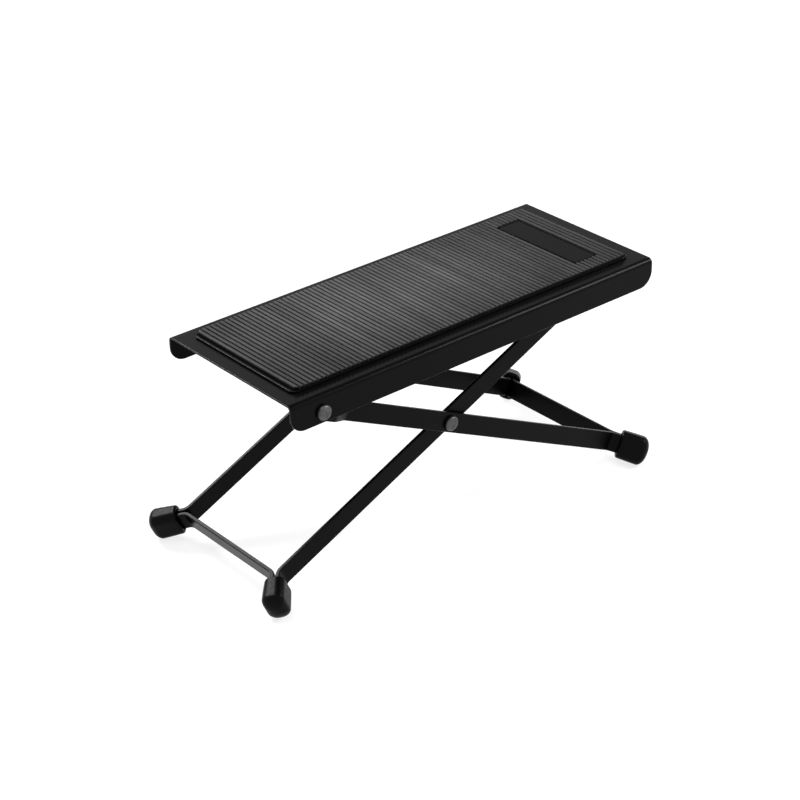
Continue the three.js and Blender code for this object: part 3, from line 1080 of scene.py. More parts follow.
@dataclass(frozen=True)
class Platform:
    """The pressed channel: a flat top, two rolled flanges and rounded lower corners.

    The blank's columns stand on the flat top as far as just short of the bend, round the bend
    and just past it, and then at shares of the flange.
    """

    length: float = 270.0
    width: float = 111.2
    depth: float = 17.0
    thickness: float = 1.2
    bend: float = 3.0
    corner: float = 9.5
    edge: float = 0.3
    corner_rows: int = 22
    top_columns: int = 9
    bend_columns: int = 13
    short_of_bend: float = 0.6
    past_bend: float = 0.5
    flange_shares: tuple[float, ...] = (0.2, 0.45, 0.7, 0.88, 0.96, 1.0)

    def channel(self, along: Array, across: Array, above: Array) -> Array:
        """Bends the flat blank into the channel.

        The middle surface is flat out to the bend, follows a quarter circle of the bend's
        middle radius, and then drops straight down. The height above it is added along its
        normal.

        Args:
            along: Places along the platform.
            across: Places across the blank, measured on its middle surface.
            above: Heights over the middle surface.

        Returns:
            Points in the platform's side view.
        """
        side, distance = np.sign(across), np.abs(across)
        flat = self.width / 2 - self.bend
        middle = self.bend - self.thickness / 2
        turn = np.clip((distance - flat) / middle, 0, QUARTER)
        past = np.maximum(distance - flat - middle * QUARTER, 0)
        y = np.minimum(distance, flat) + (middle + above) * np.sin(turn)
        z = -self.bend + (middle + above) * np.cos(turn) - past
        return np.stack([along, side * y, z], axis=1)

    def build(self, shop: Workshop, placement: Placement) -> None:
        """Builds the sheet.

        Args:
            shop: Where the piece is finished.
            placement: The platform's side view.
        """
        flat = self.width / 2 - self.bend
        rolled = flat + (self.bend - self.thickness / 2) * QUARTER
        widest = rolled + self.depth - self.bend
        top = np.linspace(0, flat - self.short_of_bend, self.top_columns)
        bend = np.linspace(flat, rolled, self.bend_columns)
        fixed = np.concatenate([top, bend, [rolled + self.past_bend]])
        ends = rounded_ends(self.length, self.corner, widest, self.corner_rows)
        plan = SheetPlan(*ends, fixed, np.array(self.flange_shares))
        shell = plan.shell(self.thickness, self.edge, self.channel)
        shop.piece("platform_channel", shell, placement, Slot.PLATFORM, ["platform"])


@dataclass(frozen=True)
class Pad:
    """The rubber pad: a thin base whose lip stands proud all round, and ribs across it.

    The end insets and tapers say how a rib's height falls off towards its cut ends, and the
    bed's own fall follows the taper through its two short tables.
    """

    length: float = 251.0
    width: float = 90.8
    inset: float = 9.5
    base: float = 1.4
    corner: float = 3.8
    corner_steps: int = 10
    lip: float = 0.55
    lip_height: float = 1.05
    lip_slope: float = 0.1
    groove: float = 0.6
    edge: float = 0.35
    rim_steps: int = 4
    under_inset: float = 1.0
    pitch: float = 3.12
    bed: float = 0.6
    seat: float = 0.01
    height: float = 1.0
    rib_start: float = 2.1
    rib_side: float = 0.06
    rib_count: int = 79
    end_insets: tuple[float, ...] = (0, 0.02, 0.06, 0.12, 0.22, 0.5)
    end_tapers: tuple[float, ...] = (0, 0.72, 0.88, 0.95, 0.985, 1)
    bed_tapers: tuple[float, ...] = (0, 0.5, 0.8)
    bed_shares: tuple[float, ...] = (0.72, 0.93, 1)
    outer_column: float = 38.0
    inner_columns: tuple[float, ...] = (22.0, 10.0)
    # The ribs' roots keep a little dust, the rest being painted shade, and the cut ends fall to
    # painted shade over the last run.
    root_dust: float = 0.2
    root_depth: float = 0.05
    end_shade_run: float = 0.12
    # A painted highlight on the front lip's rim reaches this far back from the pad's front, and
    # fades out over the last run.
    highlight_front: float = 0.7
    highlight_fade: float = 0.3
    pocket_half_length: float = 34.55
    pocket_half_width: float = 9.35
    pocket_wall: float = 0.02

    def rib_rise(self, along: Array) -> Array:
        """Height of the ribs: their full height times the section's share within a pitch."""
        places = RIB_PLACES * self.pitch
        return self.height * np.interp(np.mod(along, self.pitch), places, RIB_SHARES)

    def reach(self, along: Array) -> Array:
        """Half length of the ribs.

        Within one corner radius of either end, the field follows a quarter circle, as the
        pad's own outline does.

        Args:
            along: Places along the field of ribs.

        Returns:
            The half length at each.
        """
        radius = self.corner - self.rib_side
        span = self.length - 2 * self.rib_start
        left = np.clip(radius - np.minimum(along, span - along), 0, radius)
        return self.width / 2 - self.rib_side - radius + np.sqrt(radius**2 - left**2)

    def pocket(self) -> tuple[float, float]:
        """Where the badge's pocket starts and ends along the field of ribs."""
        front = BADGE_ALONG - self.pocket_half_width - self.inset - self.rib_start
        return front, front + 2 * self.pocket_half_width

    def rows(self) -> Array:
        """Places of the rows along the field of ribs.

        They stand at the section's own places in every pitch, and close on either side of the
        pocket's walls, from the first rib's foot to the last one's.

        Returns:
            The places in order.
        """
        foot = RIB_PLACES[1] * self.pitch
        end = self.rib_count * self.pitch - foot
        along = (np.arange(self.rib_count)[:, None] + RIB_PLACES[:-1]).ravel() * self.pitch
        walls = [wall + side * self.pocket_wall for wall in self.pocket() for side in (-1, 1)]
        along = np.unique(np.concatenate([along, walls]))
        return along[(along > foot - SLACK) & (along < end + SLACK)]

    def ribs(self) -> Shell:
        """The field of ribs on its low bed, one surface over the base.

        Its height is the bed's, plus the ribs' section along the pad, each falling off by its
        own taper at the ribs' ends, and nothing inside the badge's pocket.

        Returns:
            The closed surface.
        """
        along = self.rows()
        reach = self.reach(along)[:, None]
        walls = self.pocket_half_length + np.array([self.pocket_wall, -self.pocket_wall])
        fixed = np.array([self.outer_column, *walls, *self.inner_columns])
        ends = reach - np.array(self.end_insets)
        half = np.hstack([ends, np.repeat(fixed[None], len(along), axis=0)])
        across = np.hstack([-half, np.zeros((len(along), 1)), half[:, ::-1]])
        taper = np.interp(reach - np.abs(across), self.end_insets, self.end_tapers)
        front, rear = self.pocket()
        between = ((along > front) & (along < rear))[:, None]
        in_pocket = between & (np.abs(across) < self.pocket_half_length)
        bed = self.bed * np.interp(taper, self.bed_tapers, self.bed_shares)
        rise = np.where(in_pocket, 0, bed + self.rib_rise(along)[:, None] * taper)
        top = GAP + self.base + self.seat + rise
        floor = np.full(top.shape, GAP + self.base / 2)
        x = np.repeat((along + self.inset + self.rib_start)[:, None], across.shape[1], axis=1)
        grids = [np.stack([x, across, z], axis=2).reshape(-1, 3) for z in (top, floor)]
        numbers = np.arange(top.size).reshape(top.shape)
        loop = border(numbers)
        faces = banded(numbers, False, False)
        faces += turned(banded(numbers + top.size, False, False))
        faces += quads_between(loop + top.size, loop, True)
        return Shell(np.vstack(grids), faces, np.zeros(2 * top.size))

    def sole(self) -> Shell:
        """The base: rounded rims, a narrow lip, and inside it a shallow groove.

        The rims are quarter circles of the edge radius. The lip is level as far as its width,
        and a short slope leads down to the groove's floor, which runs on under the ribs.

        Returns:
            The closed surface.
        """
        low, high = GAP, GAP + self.lip_height
        sections = [
            [[self.under_inset, low, 0]],
            rounded_rims(low, high, self.edge, self.rim_steps),
            [[self.lip - self.lip_slope, high, 0]],
            [[self.lip, high - self.lip_slope, 0]],
            [[self.lip + self.lip_slope, high - self.groove, 0]],
        ]
        outline = rounded_rectangle(self.length, self.width, self.corner, self.corner_steps)
        return stacked(outline + [self.inset + self.length / 2, 0], np.vstack(sections))

    def lip_highlight(self, sole: Shell) -> Array:
        """Share of crown on the base: a painted highlight along its front lip's rim.

        Args:
            sole: The base.

        Returns:
            The share at each of its points.
        """
        along, level = sole.points[:, 0], sole.points[:, 2]
        front = np.clip((self.inset + self.highlight_front - along) / self.highlight_fade, 0, 1)
        return sole.edges * front * (level > GAP + self.lip_height / 2)

    def rib_dust_and_shade(self, ribs: Shell) -> Array:
        """Share of crown on the ribs: dust, and painted light and shade.

        It is the rise as a share of a rib's height, so the crowns are painted lit and the roots in
        painted shade, with a little dust left between the ribs, and it falls to nought at their cut
        ends and at the field's front, whose walls are painted in shade.

        Args:
            ribs: The field of ribs.

        Returns:
            The share at each of its points.
        """
        rise = (ribs.points[:, 2] - GAP - self.base - self.bed) / self.height
        along = ribs.points[:, 0] - self.inset - self.rib_start
        from_end = self.reach(along) - np.abs(ribs.points[:, 1])
        inwards = np.minimum(from_end, along - RIB_PLACES[1] * self.pitch)
        settled = np.where(rise > -self.root_depth, np.clip(rise, self.root_dust, 1), 0)
        return settled * np.clip(inwards / self.end_shade_run, 0, 1)

    def build(self, shop: Workshop, placement: Placement) -> None:
        """Builds the base and its ribs as one piece, with a share of crown at each point: dust, and
        painted light and shade.

        Args:
            shop: Where the piece is finished.
            placement: The platform's side view.
        """
        sole, ribs = self.sole().turned_outwards(), self.ribs().turned_outwards()
        # Crown shares: dust, a painted highlight on the front lip, and painted light and shade on
        # the ribs.
        crown = np.concatenate([self.lip_highlight(sole), self.rib_dust_and_shade(ribs)])
        shell = joined([sole, ribs])
        mat = shop.piece("pad_ribbed_mat", shell, placement, Slot.PAD, ["ribbed_pad"])
        marked(mat.data, CROWN_DUST_AND_LIGHT, crown)


@dataclass(frozen=True)
class Badge:
    """The blank plate let into the pad."""

    length: float = 66.5
    width: float = 16.1
    thickness: float = 0.8
    corner: float = 1.2
    edge: float = 0.3
    bed: float = 2.0

    def build(self, shop: Workshop, placement: Placement) -> None:
        """Builds the plate.

        Args:
            shop: Where the piece is finished.
            placement: The platform's side view.
        """
        outline = rounded_rectangle(self.width, self.length, self.corner) + [BADGE_ALONG, 0]
        shell = plate(outline, self.bed, self.bed + self.thickness, self.edge)
        shop.piece("badge_blank_plate", shell, placement, Slot.BADGE, ["blank_badge"])


@dataclass(frozen=True)
class Rack:
    """One notched angle under the platform that the locking rod drops into."""

    thickness: float = 1.8
    flange_width: float = 13.0
    flange_corner: float = 1.0
    spacing: float = 52.0
    notches: int = 5
    pitch: float = 9.0
    tooth: float = 5.2
    chamfer: float = 0.7
    front_land: float = 6.0
    ramp: float = 15.0
    end_radius: float = 2.5
    end_steps: int = 6
    seat_steps: int = 10
    rod_radius: float = 3.0
    rod_drop: float = 7.4
    roof: float = 1.5
    edge: float = 0.22
    rim_steps: int = 3

    def outline(self, rod_along: float, slope: float) -> Array:
        """Side view of the notched wall.

        Each notch is a half circle about the rod's centre in that notch, between chamfered
        teeth. The last one runs out along the ramp that the rod leaves by.

        Args:
            rod_along: Place of the rod along the platform at rest.
            slope: Angle of the ramp.

        Returns:
            The loop of the wall, along and up.
        """
        seat = self.rod_radius + GAP
        tip = -(self.rod_drop - self.rod_radius - GAP + self.tooth)
        shoulder = tip + self.chamfer
        first = rod_along - (self.notches - 1) * self.pitch
        front = first - seat - self.front_land
        corner = (front + self.end_radius, tip + self.end_radius)
        runs = [
            [[front, -self.roof]],
            arc(corner, self.end_radius, 2 * QUARTER, 3 * QUARTER, self.end_steps),
        ]
        for notch in range(self.notches):
            centre = first + notch * self.pitch
            last = notch == self.notches - 1
            leave = QUARTER - slope if last else 0.0
            runs.append([[centre - seat - self.chamfer, tip], [centre - seat, shoulder]])
            runs.append(arc((centre, -self.rod_drop), seat, 2 * QUARTER, leave, self.seat_steps))
            if not last:
                runs.append([[centre + seat, shoulder], [centre + seat + self.chamfer, tip]])
        end = rod_along + self.ramp
        top = -self.rod_drop + seat / math.cos(slope)
        runs.append([[end, top - self.ramp * math.tan(slope)], [end, -self.roof]])
        return np.vstack(runs)

    def build(
        self, shop: Workshop, placement: Placement, side: Side, rod_along: float, slope: float
    ) -> None:
        """Builds the wall and its flange as one piece.

        Args:
            shop: Where the piece is finished.
            placement: The platform's side view.
            side: The side of the footrest.
            rod_along: Place of the rod along the platform at rest.
            slope: Angle of the ramp.
        """
        loop = self.outline(rod_along, slope)
        face = self.spacing / 2
        wall = plate(loop, face - self.thickness, face, self.edge, self.rim_steps)
        upright = replace(wall, points=wall.points[:, [0, 2, 1]]).mirrored(side)
        front, rear = loop[:, 0].min(), loop[:, 0].max()
        centre = [(front + rear) / 2, side.value * (face - self.flange_width / 2)]
        across = rounded_rectangle(rear - front, self.flange_width, self.flange_corner) + centre
        low, high = -self.roof - self.thickness, -self.roof
        flange = plate(across, low, high, self.edge, self.rim_steps)
        shell = joined([part.turned_outwards() for part in (upright, flange)])
        label = side.name.lower()
        shop.piece(f"rack_angle_{label}", shell, placement, Slot.RACKS, [f"rod_rack_{label}"])


@dataclass(frozen=True)
class Bend:
    """A corner of a strip's middle line, and the radius that it is bent to."""

    x: float
    y: float
    radius: float = 0.0


@dataclass(frozen=True)
class LegFrame:
    """A U of flat strip: joggled arms, a foot bar, and an ear doubled back at each corner.

    The strip's round ends have rows of their own, from a small first angle on, and the middle
    line's rows keep clear of them.
    """

    pair: Pair
    foot: float
    arm_face: float
    top: float
    top_face: float
    strip: float = 11.8
    thickness: float = 2.3
    ear_bend: float = 5.0
    ear_gap: float = 1.0
    ear: float = 14.0
    joggle_start: float = 13.5
    joggle_run: float = 11.0
    joggle_bend: float = 6.0
    edge: float = 0.5
    end_rows: int = 14
    end_angle: float = math.radians(3)
    end_clearance: float = 0.2
    bend_step: float = math.radians(6)
    least_steps: int = 4
    shares: tuple[float, ...] = (0.35, 0.65, 0.85, 0.95, 1.0)

    def corners(self) -> list[Bend]:
        """Corners of the half frame from the foot bar's middle to the arm's top end.

        The ear runs out along the corner's diagonal, by its own length, and back beside
        itself across its gap, so its four corners lie half a fold to either side of the
        diagonal. A wider top end asks for the two bends of a joggle.

        Returns:
            The corners in order.
        """
        ear_half = (self.thickness + self.ear_gap) / 2
        ear_radius = self.ear_bend + self.thickness / 2
        joggle_radius = self.joggle_bend + self.thickness / 2
        bar = self.foot - self.thickness / 2
        arm = self.arm_face - self.thickness / 2
        top = self.top_face - self.thickness / 2
        reach = (self.ear - self.thickness / 2) / ROOT_TWO
        side = ear_half / ROOT_TWO
        bends = [
            Bend(bar, arm - ear_half * ROOT_TWO, ear_radius),
            Bend(self.foot + reach + side, self.arm_face + reach - side, ear_half),
            Bend(self.foot + reach - side, self.arm_face + reach + side, ear_half),
            Bend(bar - ear_half * ROOT_TWO, arm, ear_radius),
        ]
        if self.top_face > self.arm_face:
            bends.append(Bend(self.top + self.joggle_start + self.joggle_run, arm, joggle_radius))
            bends.append(Bend(self.top + self.joggle_start, top, joggle_radius))
        return [*bends, Bend(self.top - self.strip / 2, top)]

    def line(self) -> tuple[Array, Array, Array]:
        """Walks the strip's middle line through its bends.

        At a corner the line leaves the straight by the setback, radius times the tangent of
        half the turn, and follows an arc whose heading grows evenly from one straight's to
        the next's. Where two arcs meet, the point that they share is kept once.

        Returns:
            Distance along the line, points on it, and its heading at each.
        """
        half = self.corners()
        ends = [replace(b, y=-b.y) for b in reversed(half)] + half
        places = np.array([[b.x, b.y] for b in ends])
        runs = np.diff(places, axis=0)
        headings = np.unwrap(np.arctan2(runs[:, 1], runs[:, 0]))
        points, turned_to = [places[:1]], [headings[:1]]
        for k in range(1, len(ends) - 1):
            radius, start, end = ends[k].radius, headings[k - 1], headings[k]
            turn = end - start
            side = math.copysign(1.0, turn)
            setback = radius * math.tan(abs(turn) / 2)
            leave = places[k] - setback * np.array([math.cos(start), math.sin(start)])
            centre = leave + side * radius * np.array([-math.sin(start), math.cos(start)])
            steps = max(self.least_steps, math.ceil(abs(turn) / self.bend_step))
            heading = np.linspace(start, end, steps + 1)
            out = np.stack([np.sin(heading), -np.cos(heading)], axis=1)
            points.append(centre + side * radius * out)
            turned_to.append(heading)
        line = np.vstack([*points, places[-1:]])
        heading = np.concatenate([*turned_to, headings[-1:]])
        lengths = np.linalg.norm(np.diff(line, axis=0, prepend=line[:1]), axis=1)
        kept = lengths > SLACK
        kept[0] = True
        return np.cumsum(lengths)[kept], line[kept], heading[kept]

    def build(self, shop: Workshop, placement: Placement) -> None:
        """Bends the flat strip, with its round ends, along the middle line.

        Args:
            shop: Where the piece is finished.
            placement: The side view of the frame's own body.
        """
        distance, line, heading = self.line()

        def bent(along: Array, across: Array, above: Array) -> Array:
            """The line's point at a distance, moved along its normal and across the strip.

            Args:
                along: Distances along the line.
                across: Places across the strip.
                above: Heights over its middle surface.

            Returns:
                Points in the frame's side view.
            """
            turn = np.interp(along, distance, heading)
            x = np.interp(along, distance, line[:, 0]) - above * np.sin(turn)
            y = np.interp(along, distance, line[:, 1]) + above * np.cos(turn)
            return np.stack([x, y, across], axis=1)

        half = self.strip / 2
        total = distance[-1]
        clear = half + self.end_clearance
        middle = distance[(distance > clear) & (distance < total - clear)]
        straight = table(middle, half, 0.0, 1.0).T
        ends = rounded_ends(total, half, half, self.end_rows, self.end_angle)
        cut = ends.shape[1] // 2
        rows = np.hstack([ends[:, :cut], straight, ends[:, cut:]])
        plan = SheetPlan(*rows, np.array([0.0]), np.array(self.shares))
        shell = plan.shell(self.thickness, self.edge, bent)
        pair = self.pair.value
        shop.piece(f"{pair}_legs_strip", shell, placement, Slot.LEGS, [f"{pair}_leg_frame"])


@dataclass(frozen=True)
class FootCap:
    """A rubber cap pushed onto an ear: a rolled mouth, a swelling flank and a domed end."""

    length: float = 18.6
    mouth: float = 2.5
    mouth_width: float = 17.6
    mouth_depth: float = 12.0
    ridge_width: float = 18.0
    ridge_depth: float = 13.0
    corner: float = 4.6
    pocket_corner: float = 0.8
    dome: float = 5.0
    dome_power: float = 0.86
    tip_flat: float = 0.05
    rim: float = 1.3
    lip: float = 0.5
    ear_thickness: float = 5.6
    ear_width: float = 11.8
    ear_length: float = 14.0
    lip_steps: int = 4
    rim_steps: int = 8
    flank_steps: int = 8
    dome_steps: int = 14
    corner_steps: int = 7

    def sections(self) -> Array:
        """Sections of the cap from the pocket's floor out to the tip.

        The pocket runs up to the mouth, and the lip and the rim turn through quarter circles.
        The flank swells to the ridge by the mean of the share of its run and that share times
        two less itself. The dome closes as the cosine of an angle to a power below one, while
        it rises as its sine and its corners grow rounder.

        Returns:
            One section to a row: along, width, depth, corner radius.
        """
        width, depth = self.ear_width + 2 * GAP, self.ear_thickness + 2 * GAP
        ends = np.array([self.ear_length + GAP, self.mouth + self.lip])
        pocket = table(ends, width, depth, self.pocket_corner)
        angle = np.linspace(0, QUARTER, self.lip_steps + 1)[1:]
        grow = self.lip * (1 - np.cos(angle))
        along = self.mouth + self.lip * (1 - np.sin(angle))
        lip = table(along, width + 2 * grow, depth + 2 * grow, self.pocket_corner + grow)
        angle = np.linspace(0, QUARTER, self.rim_steps + 1)
        inset = self.rim * (1 - np.sin(angle))
        along = self.mouth + self.rim * (1 - np.cos(angle))
        wide, deep = self.mouth_width - 2 * inset, self.mouth_depth - 2 * inset
        rim = table(along, wide, deep, self.corner - inset)
        start, ridge = self.mouth + self.rim, self.mouth + self.length - self.dome
        share = np.linspace(0, 1, self.flank_steps + 1)[1:]
        swell = (share + share * (2 - share)) / 2
        wide = self.mouth_width + (self.ridge_width - self.mouth_width) * swell
        deep = self.mouth_depth + (self.ridge_depth - self.mouth_depth) * swell
        flank = table(start + (ridge - start) * share, wide, deep, self.corner)
        angle = np.linspace(0, QUARTER, self.dome_steps + 1)[1:-1]
        close, rise = np.cos(angle) ** self.dome_power, np.sin(angle)
        corner = self.corner + (self.ridge_depth / 2 - self.tip_flat - self.corner) * rise
        sizes = (self.ridge_width * close, self.ridge_depth * close, corner * close)
        dome = table(ridge + self.dome * rise, *sizes)
        return np.vstack([pocket, lip, rim, flank, dome])

    def shell(self) -> Shell:
        """Lofts the sections into one closed surface along the ear.

        Returns:
            The closed surface, along its second axis.
        """
        rings = []
        for along, width, depth, radius in self.sections():
            ring = rounded_rectangle(depth, width, radius, self.corner_steps)
            rings.append(table(ring[:, 0], along, ring[:, 1]))
        floor, tip = self.ear_length + GAP, self.mouth + self.length
        return capped(np.stack(rings), (0, floor, 0), (0, tip, 0))

    def build(self, shop: Workshop, placement: Placement, legs: LegFrame, side: Side) -> None:
        """Turns the cap to the ear's diagonal and sets it on the corner.

        The turn is half a right angle on the far side and one and a half on the near side,
        clockwise.

        Args:
            shop: Where the piece is finished.
            placement: The side view of the frame's body.
            legs: The frame that the cap is pushed onto.
            side: The side of the footrest.
        """
        shell = self.shell()
        turn = (side.value / 2 - 1) * QUARTER
        cosine, sine = math.cos(turn), math.sin(turn)
        out, along, across = shell.points.T
        x = cosine * out - sine * along + legs.foot
        y = sine * out + cosine * along + side.value * legs.arm_face
        placed = replace(shell, points=np.stack([x, y, across], axis=1))
        pair, label = legs.pair.value, side.name.lower()
        node = f"{pair}_foot_cap_{label}"
        shop.piece(f"{pair}_cap_{label}", placed, placement, Slot.CAPS, [node])


@dataclass(frozen=True)
class Fasteners:
    """Rivets with domed heads, spacer washers, and the locking rod with its peened ends."""

    shank: float = 5.0
    head: float = 9.0
    head_height: float = 2.6
    clench: float = 8.0
    clench_height: float = 1.7
    washer: float = 11.0
    washer_thickness: float = 0.6
    washer_edge: float = 0.2
    washer_steps: int = 3
    rod: float = 6.0
    shoulder_inset: float = 0.3
    shoulder_run: float = 0.4
    tenon: float = 4.4
    peen: float = 7.0
    peen_height: float = 0.5
    peen_steps: int = 8
    head_steps: int = 12
    fillet_share: float = 0.16
    fillet_start: float = 0.3
    rise_power: float = 0.62
    close_power: float = 0.72

    def dome(self, radius: float, height: float, base: float, steps: int) -> Array:
        """A head's profile, from its rim to its top.

        The rim first rounds up off the seat through a small fillet. Then radius and height
        follow the cosine and sine of an angle, each to a power below one, which makes the
        side steep, the shoulder round and the crown low.

        Args:
            radius: Radius of the head.
            height: Height of the head, below nought where it points inwards.
            base: Level of the seat.
            steps: Bands between the fillet and the top.

        Returns:
            Radius and level of each point.
        """
        fillet = abs(height) * self.fillet_share
        sign = math.copysign(1.0, height)
        first = self.fillet_start * fillet
        angle = np.linspace(0, QUARTER, steps + 1)
        rise = (height - sign * fillet) * np.sin(angle) ** self.rise_power
        close = radius * np.abs(np.cos(angle)) ** self.close_power
        close[-1] = 0
        rim = [[radius - fillet, base], [radius - first, base + sign * first]]
        return np.vstack([rim, table(close, base + sign * fillet + rise)])

    def rivet(self, outer: float, inner: float) -> Shell:
        """A rivet along the width axis: a domed head outside and a flatter clench inside.

        Args:
            outer: Level of the face under the head.
            inner: Level of the face under the clench.

        Returns:
            The closed surface.
        """
        seat, end = outer + GAP, inner - GAP
        head = self.dome(self.head / 2, self.head_height, seat, self.head_steps)
        clench = self.dome(self.clench / 2, -self.clench_height, end, self.head_steps)
        shank = [[self.shank / 2, end], [self.shank / 2, seat]]
        return lathe(np.vstack([clench[::-1], shank, head]))

    def spacer(self, outer: float) -> Shell:
        """A washer whose rims are turned off by small quarter circles.

        Args:
            outer: Level of the face that it lies under.

        Returns:
            The closed surface.
        """
        edge = self.washer_edge
        inside, outside = self.shank / 2 + GAP + edge, self.washer / 2 - edge
        low, high = outer - GAP - self.washer_thickness + edge, outer - GAP - edge
        centres = [(inside, low, 2), (outside, low, -1), (outside, high, 0), (inside, high, 1)]
        loop = [
            arc((x, y), edge, k * QUARTER, (k + 1) * QUARTER, self.washer_steps)
            for x, y, k in centres
        ]
        return lathe(np.vstack(loop), closed=True)

    def locking_rod(self, face: float, inside: float) -> Shell:
        """A round bar with chamfered shoulders, turned-down tenons and peened ends.

        Args:
            face: Level of the strip's outer face, which the peened end lies on.
            inside: Level of its inner face, which the shoulder meets.

        Returns:
            The closed surface.
        """
        shoulder, seat = inside - GAP, face + GAP
        half = np.vstack([
            [self.rod / 2, shoulder - self.shoulder_run],
            [self.rod / 2 - self.shoulder_inset, shoulder],
            [self.tenon / 2, shoulder],
            [self.tenon / 2, seat],
            self.dome(self.peen / 2, self.peen_height, seat, self.peen_steps),
        ])
        return lathe(np.vstack([half[::-1] * [1, -1], half]))


@dataclass(frozen=True)
class Footrest:
    """The whole footrest, built sub-assembly by sub-assembly."""

    linkage: Linkage = Linkage()
    platform: Platform = Platform()
    pad: Pad = Pad()
    badge: Badge = Badge()
    rack: Rack = Rack()
    cap: FootCap = FootCap()
    fasteners: Fasteners = Fasteners()
    pivot_to_scissor: float = 106.2
    scissor_to_rod: float = 120.545
    rear_foot: float = 254.604
    front_foot: float = 134.912
    platform_face: float = 55.6
    flange_face: float = 54.4
    rear_top_face: float = 53.2
    rear_arm_face: float = 48.0
    front_arm_face: float = 44.5

    def leg_frames(self) -> tuple[LegFrame, LegFrame]:
        """The rear and the front leg frame, each with its own sizes.

        Returns:
            The two frames.
        """
        rear = LegFrame(
            Pair.REAR,
            foot=self.rear_foot,
            arm_face=self.rear_arm_face,
            top=0.0,
            top_face=self.rear_top_face,
        )
        front = LegFrame(
            Pair.FRONT,
            foot=self.front_foot,
            arm_face=self.front_arm_face,
            top=-self.scissor_to_rod,
            top_face=self.front_arm_face,
        )
        return rear, front

    def build(self, shop: Workshop) -> None:
        """Builds every piece on its body.

        Args:
            shop: Where the pieces are finished.
        """
        places = self.linkage.placements()
        platform, rear, front = (places[b] for b in Body)
        rear_legs, front_legs = self.leg_frames()
        self.platform.build(shop, platform)
        self.pad.build(shop, platform)
        self.badge.build(shop, platform)
        rear_legs.build(shop, rear)
        front_legs.build(shop, front)
        inside = self.front_arm_face - front_legs.thickness
        bar = self.fasteners.locking_rod(self.front_arm_face, inside).moved(-self.scissor_to_rod)
        shop.piece("locking_bar", bar, front, Slot.ZINC, ["locking_rod"])
        rod_along, slope = self.rod_path()
        for side in Side:
            self.rack.build(shop, platform, side, rod_along, slope)
            self.cap.build(shop, rear, rear_legs, side)
            self.cap.build(shop, front, front_legs, side)
            self.build_pins(shop, platform, rear, rear_legs.thickness, side)

    def build_pins(
        self, shop: Workshop, platform: Placement, rear: Placement, strip: float, side: Side
    ) -> None:
        """Builds one side's rivets and washers, at the pivot and then at the scissor.

        Args:
            shop: Where the pieces are finished.
            platform: The platform's side view.
            rear: The rear legs' side view.
            strip: Thickness of the legs' strip.
            side: The side of the footrest.
        """
        label = side.name.lower()
        link, scissor = self.linkage, self.pivot_to_scissor
        pin = self.fasteners.rivet(self.platform_face, self.rear_top_face - strip)
        pin = pin.mirrored(side).moved(link.pivot_inset, link.pivot_drop)
        shop.piece(f"pivot_pin_{label}", pin, platform, Slot.RIVETS, [f"pivot_rivet_{label}"])
        spacer = self.fasteners.spacer(self.flange_face).mirrored(side)
        shop.piece(f"pivot_spacer_{label}", spacer, rear, Slot.ZINC, [f"pivot_washer_{label}"])
        pin = self.fasteners.rivet(self.rear_arm_face, self.front_arm_face - strip)
        pin = pin.mirrored(side).moved(scissor)
        shop.piece(f"scissor_pin_{label}", pin, rear, Slot.RIVETS, [f"scissor_rivet_{label}"])
        spacer = self.fasteners.spacer(self.rear_arm_face - strip).mirrored(side).moved(scissor)
        shop.piece(f"scissor_spacer_{label}", spacer, rear, Slot.ZINC, [f"scissor_washer_{label}"])

    def rod_path(self) -> tuple[float, float]:
        """Place of the rod along the platform at rest, and the slope at which it leaves.

        As the legs start to fold, the rod's speed is the sum of the scissor's about the pivot
        and the rod's own about the scissor, which turns faster by the ratio of the angles.

        Returns:
            Place along the platform, and the angle of the ramp.
        """
        link = self.linkage
        ratio = link.front_fold / link.rear_fold
        along = link.pivot_inset + self.pivot_to_scissor * math.cos(link.rear_angle)
        along += self.scissor_to_rod * math.cos(link.front_angle)
        run = self.pivot_to_scissor * math.sin(link.rear_angle)
        run += ratio * self.scissor_to_rod * math.sin(link.front_angle)
        fall = ratio * self.scissor_to_rod * math.cos(link.front_angle)
        fall -= self.pivot_to_scissor * math.cos(link.rear_angle)
        return along, math.atan2(fall, run)


@dataclass(frozen=True)
class Lamp:
    """A soft rectangular lamp: its place, target and size in metres, its power in watts."""

    name: str
    place: Triple
    target: Triple
    size: tuple[float, float]
    power: float

    def build(self) -> None:
        """Adds the lamp and turns it to its target.

        It shines against its third axis, and its first axis is level: the upward direction
        crossed with the third.
        """
        data = bpy.data.lights.new(self.name, "AREA")
        data.shape = "RECTANGLE"
        data.size, data.size_y = self.size
        data.energy = self.power
        away = np.array(self.place) - np.array(self.target)
        back = away / np.linalg.norm(away)
        level = np.cross([0, 0, 1], back)
        level /= np.linalg.norm(level)
        axes = (level, np.cross(back, level), back)
        in_scene(self.name, data).matrix_world = standing(axes, self.place)


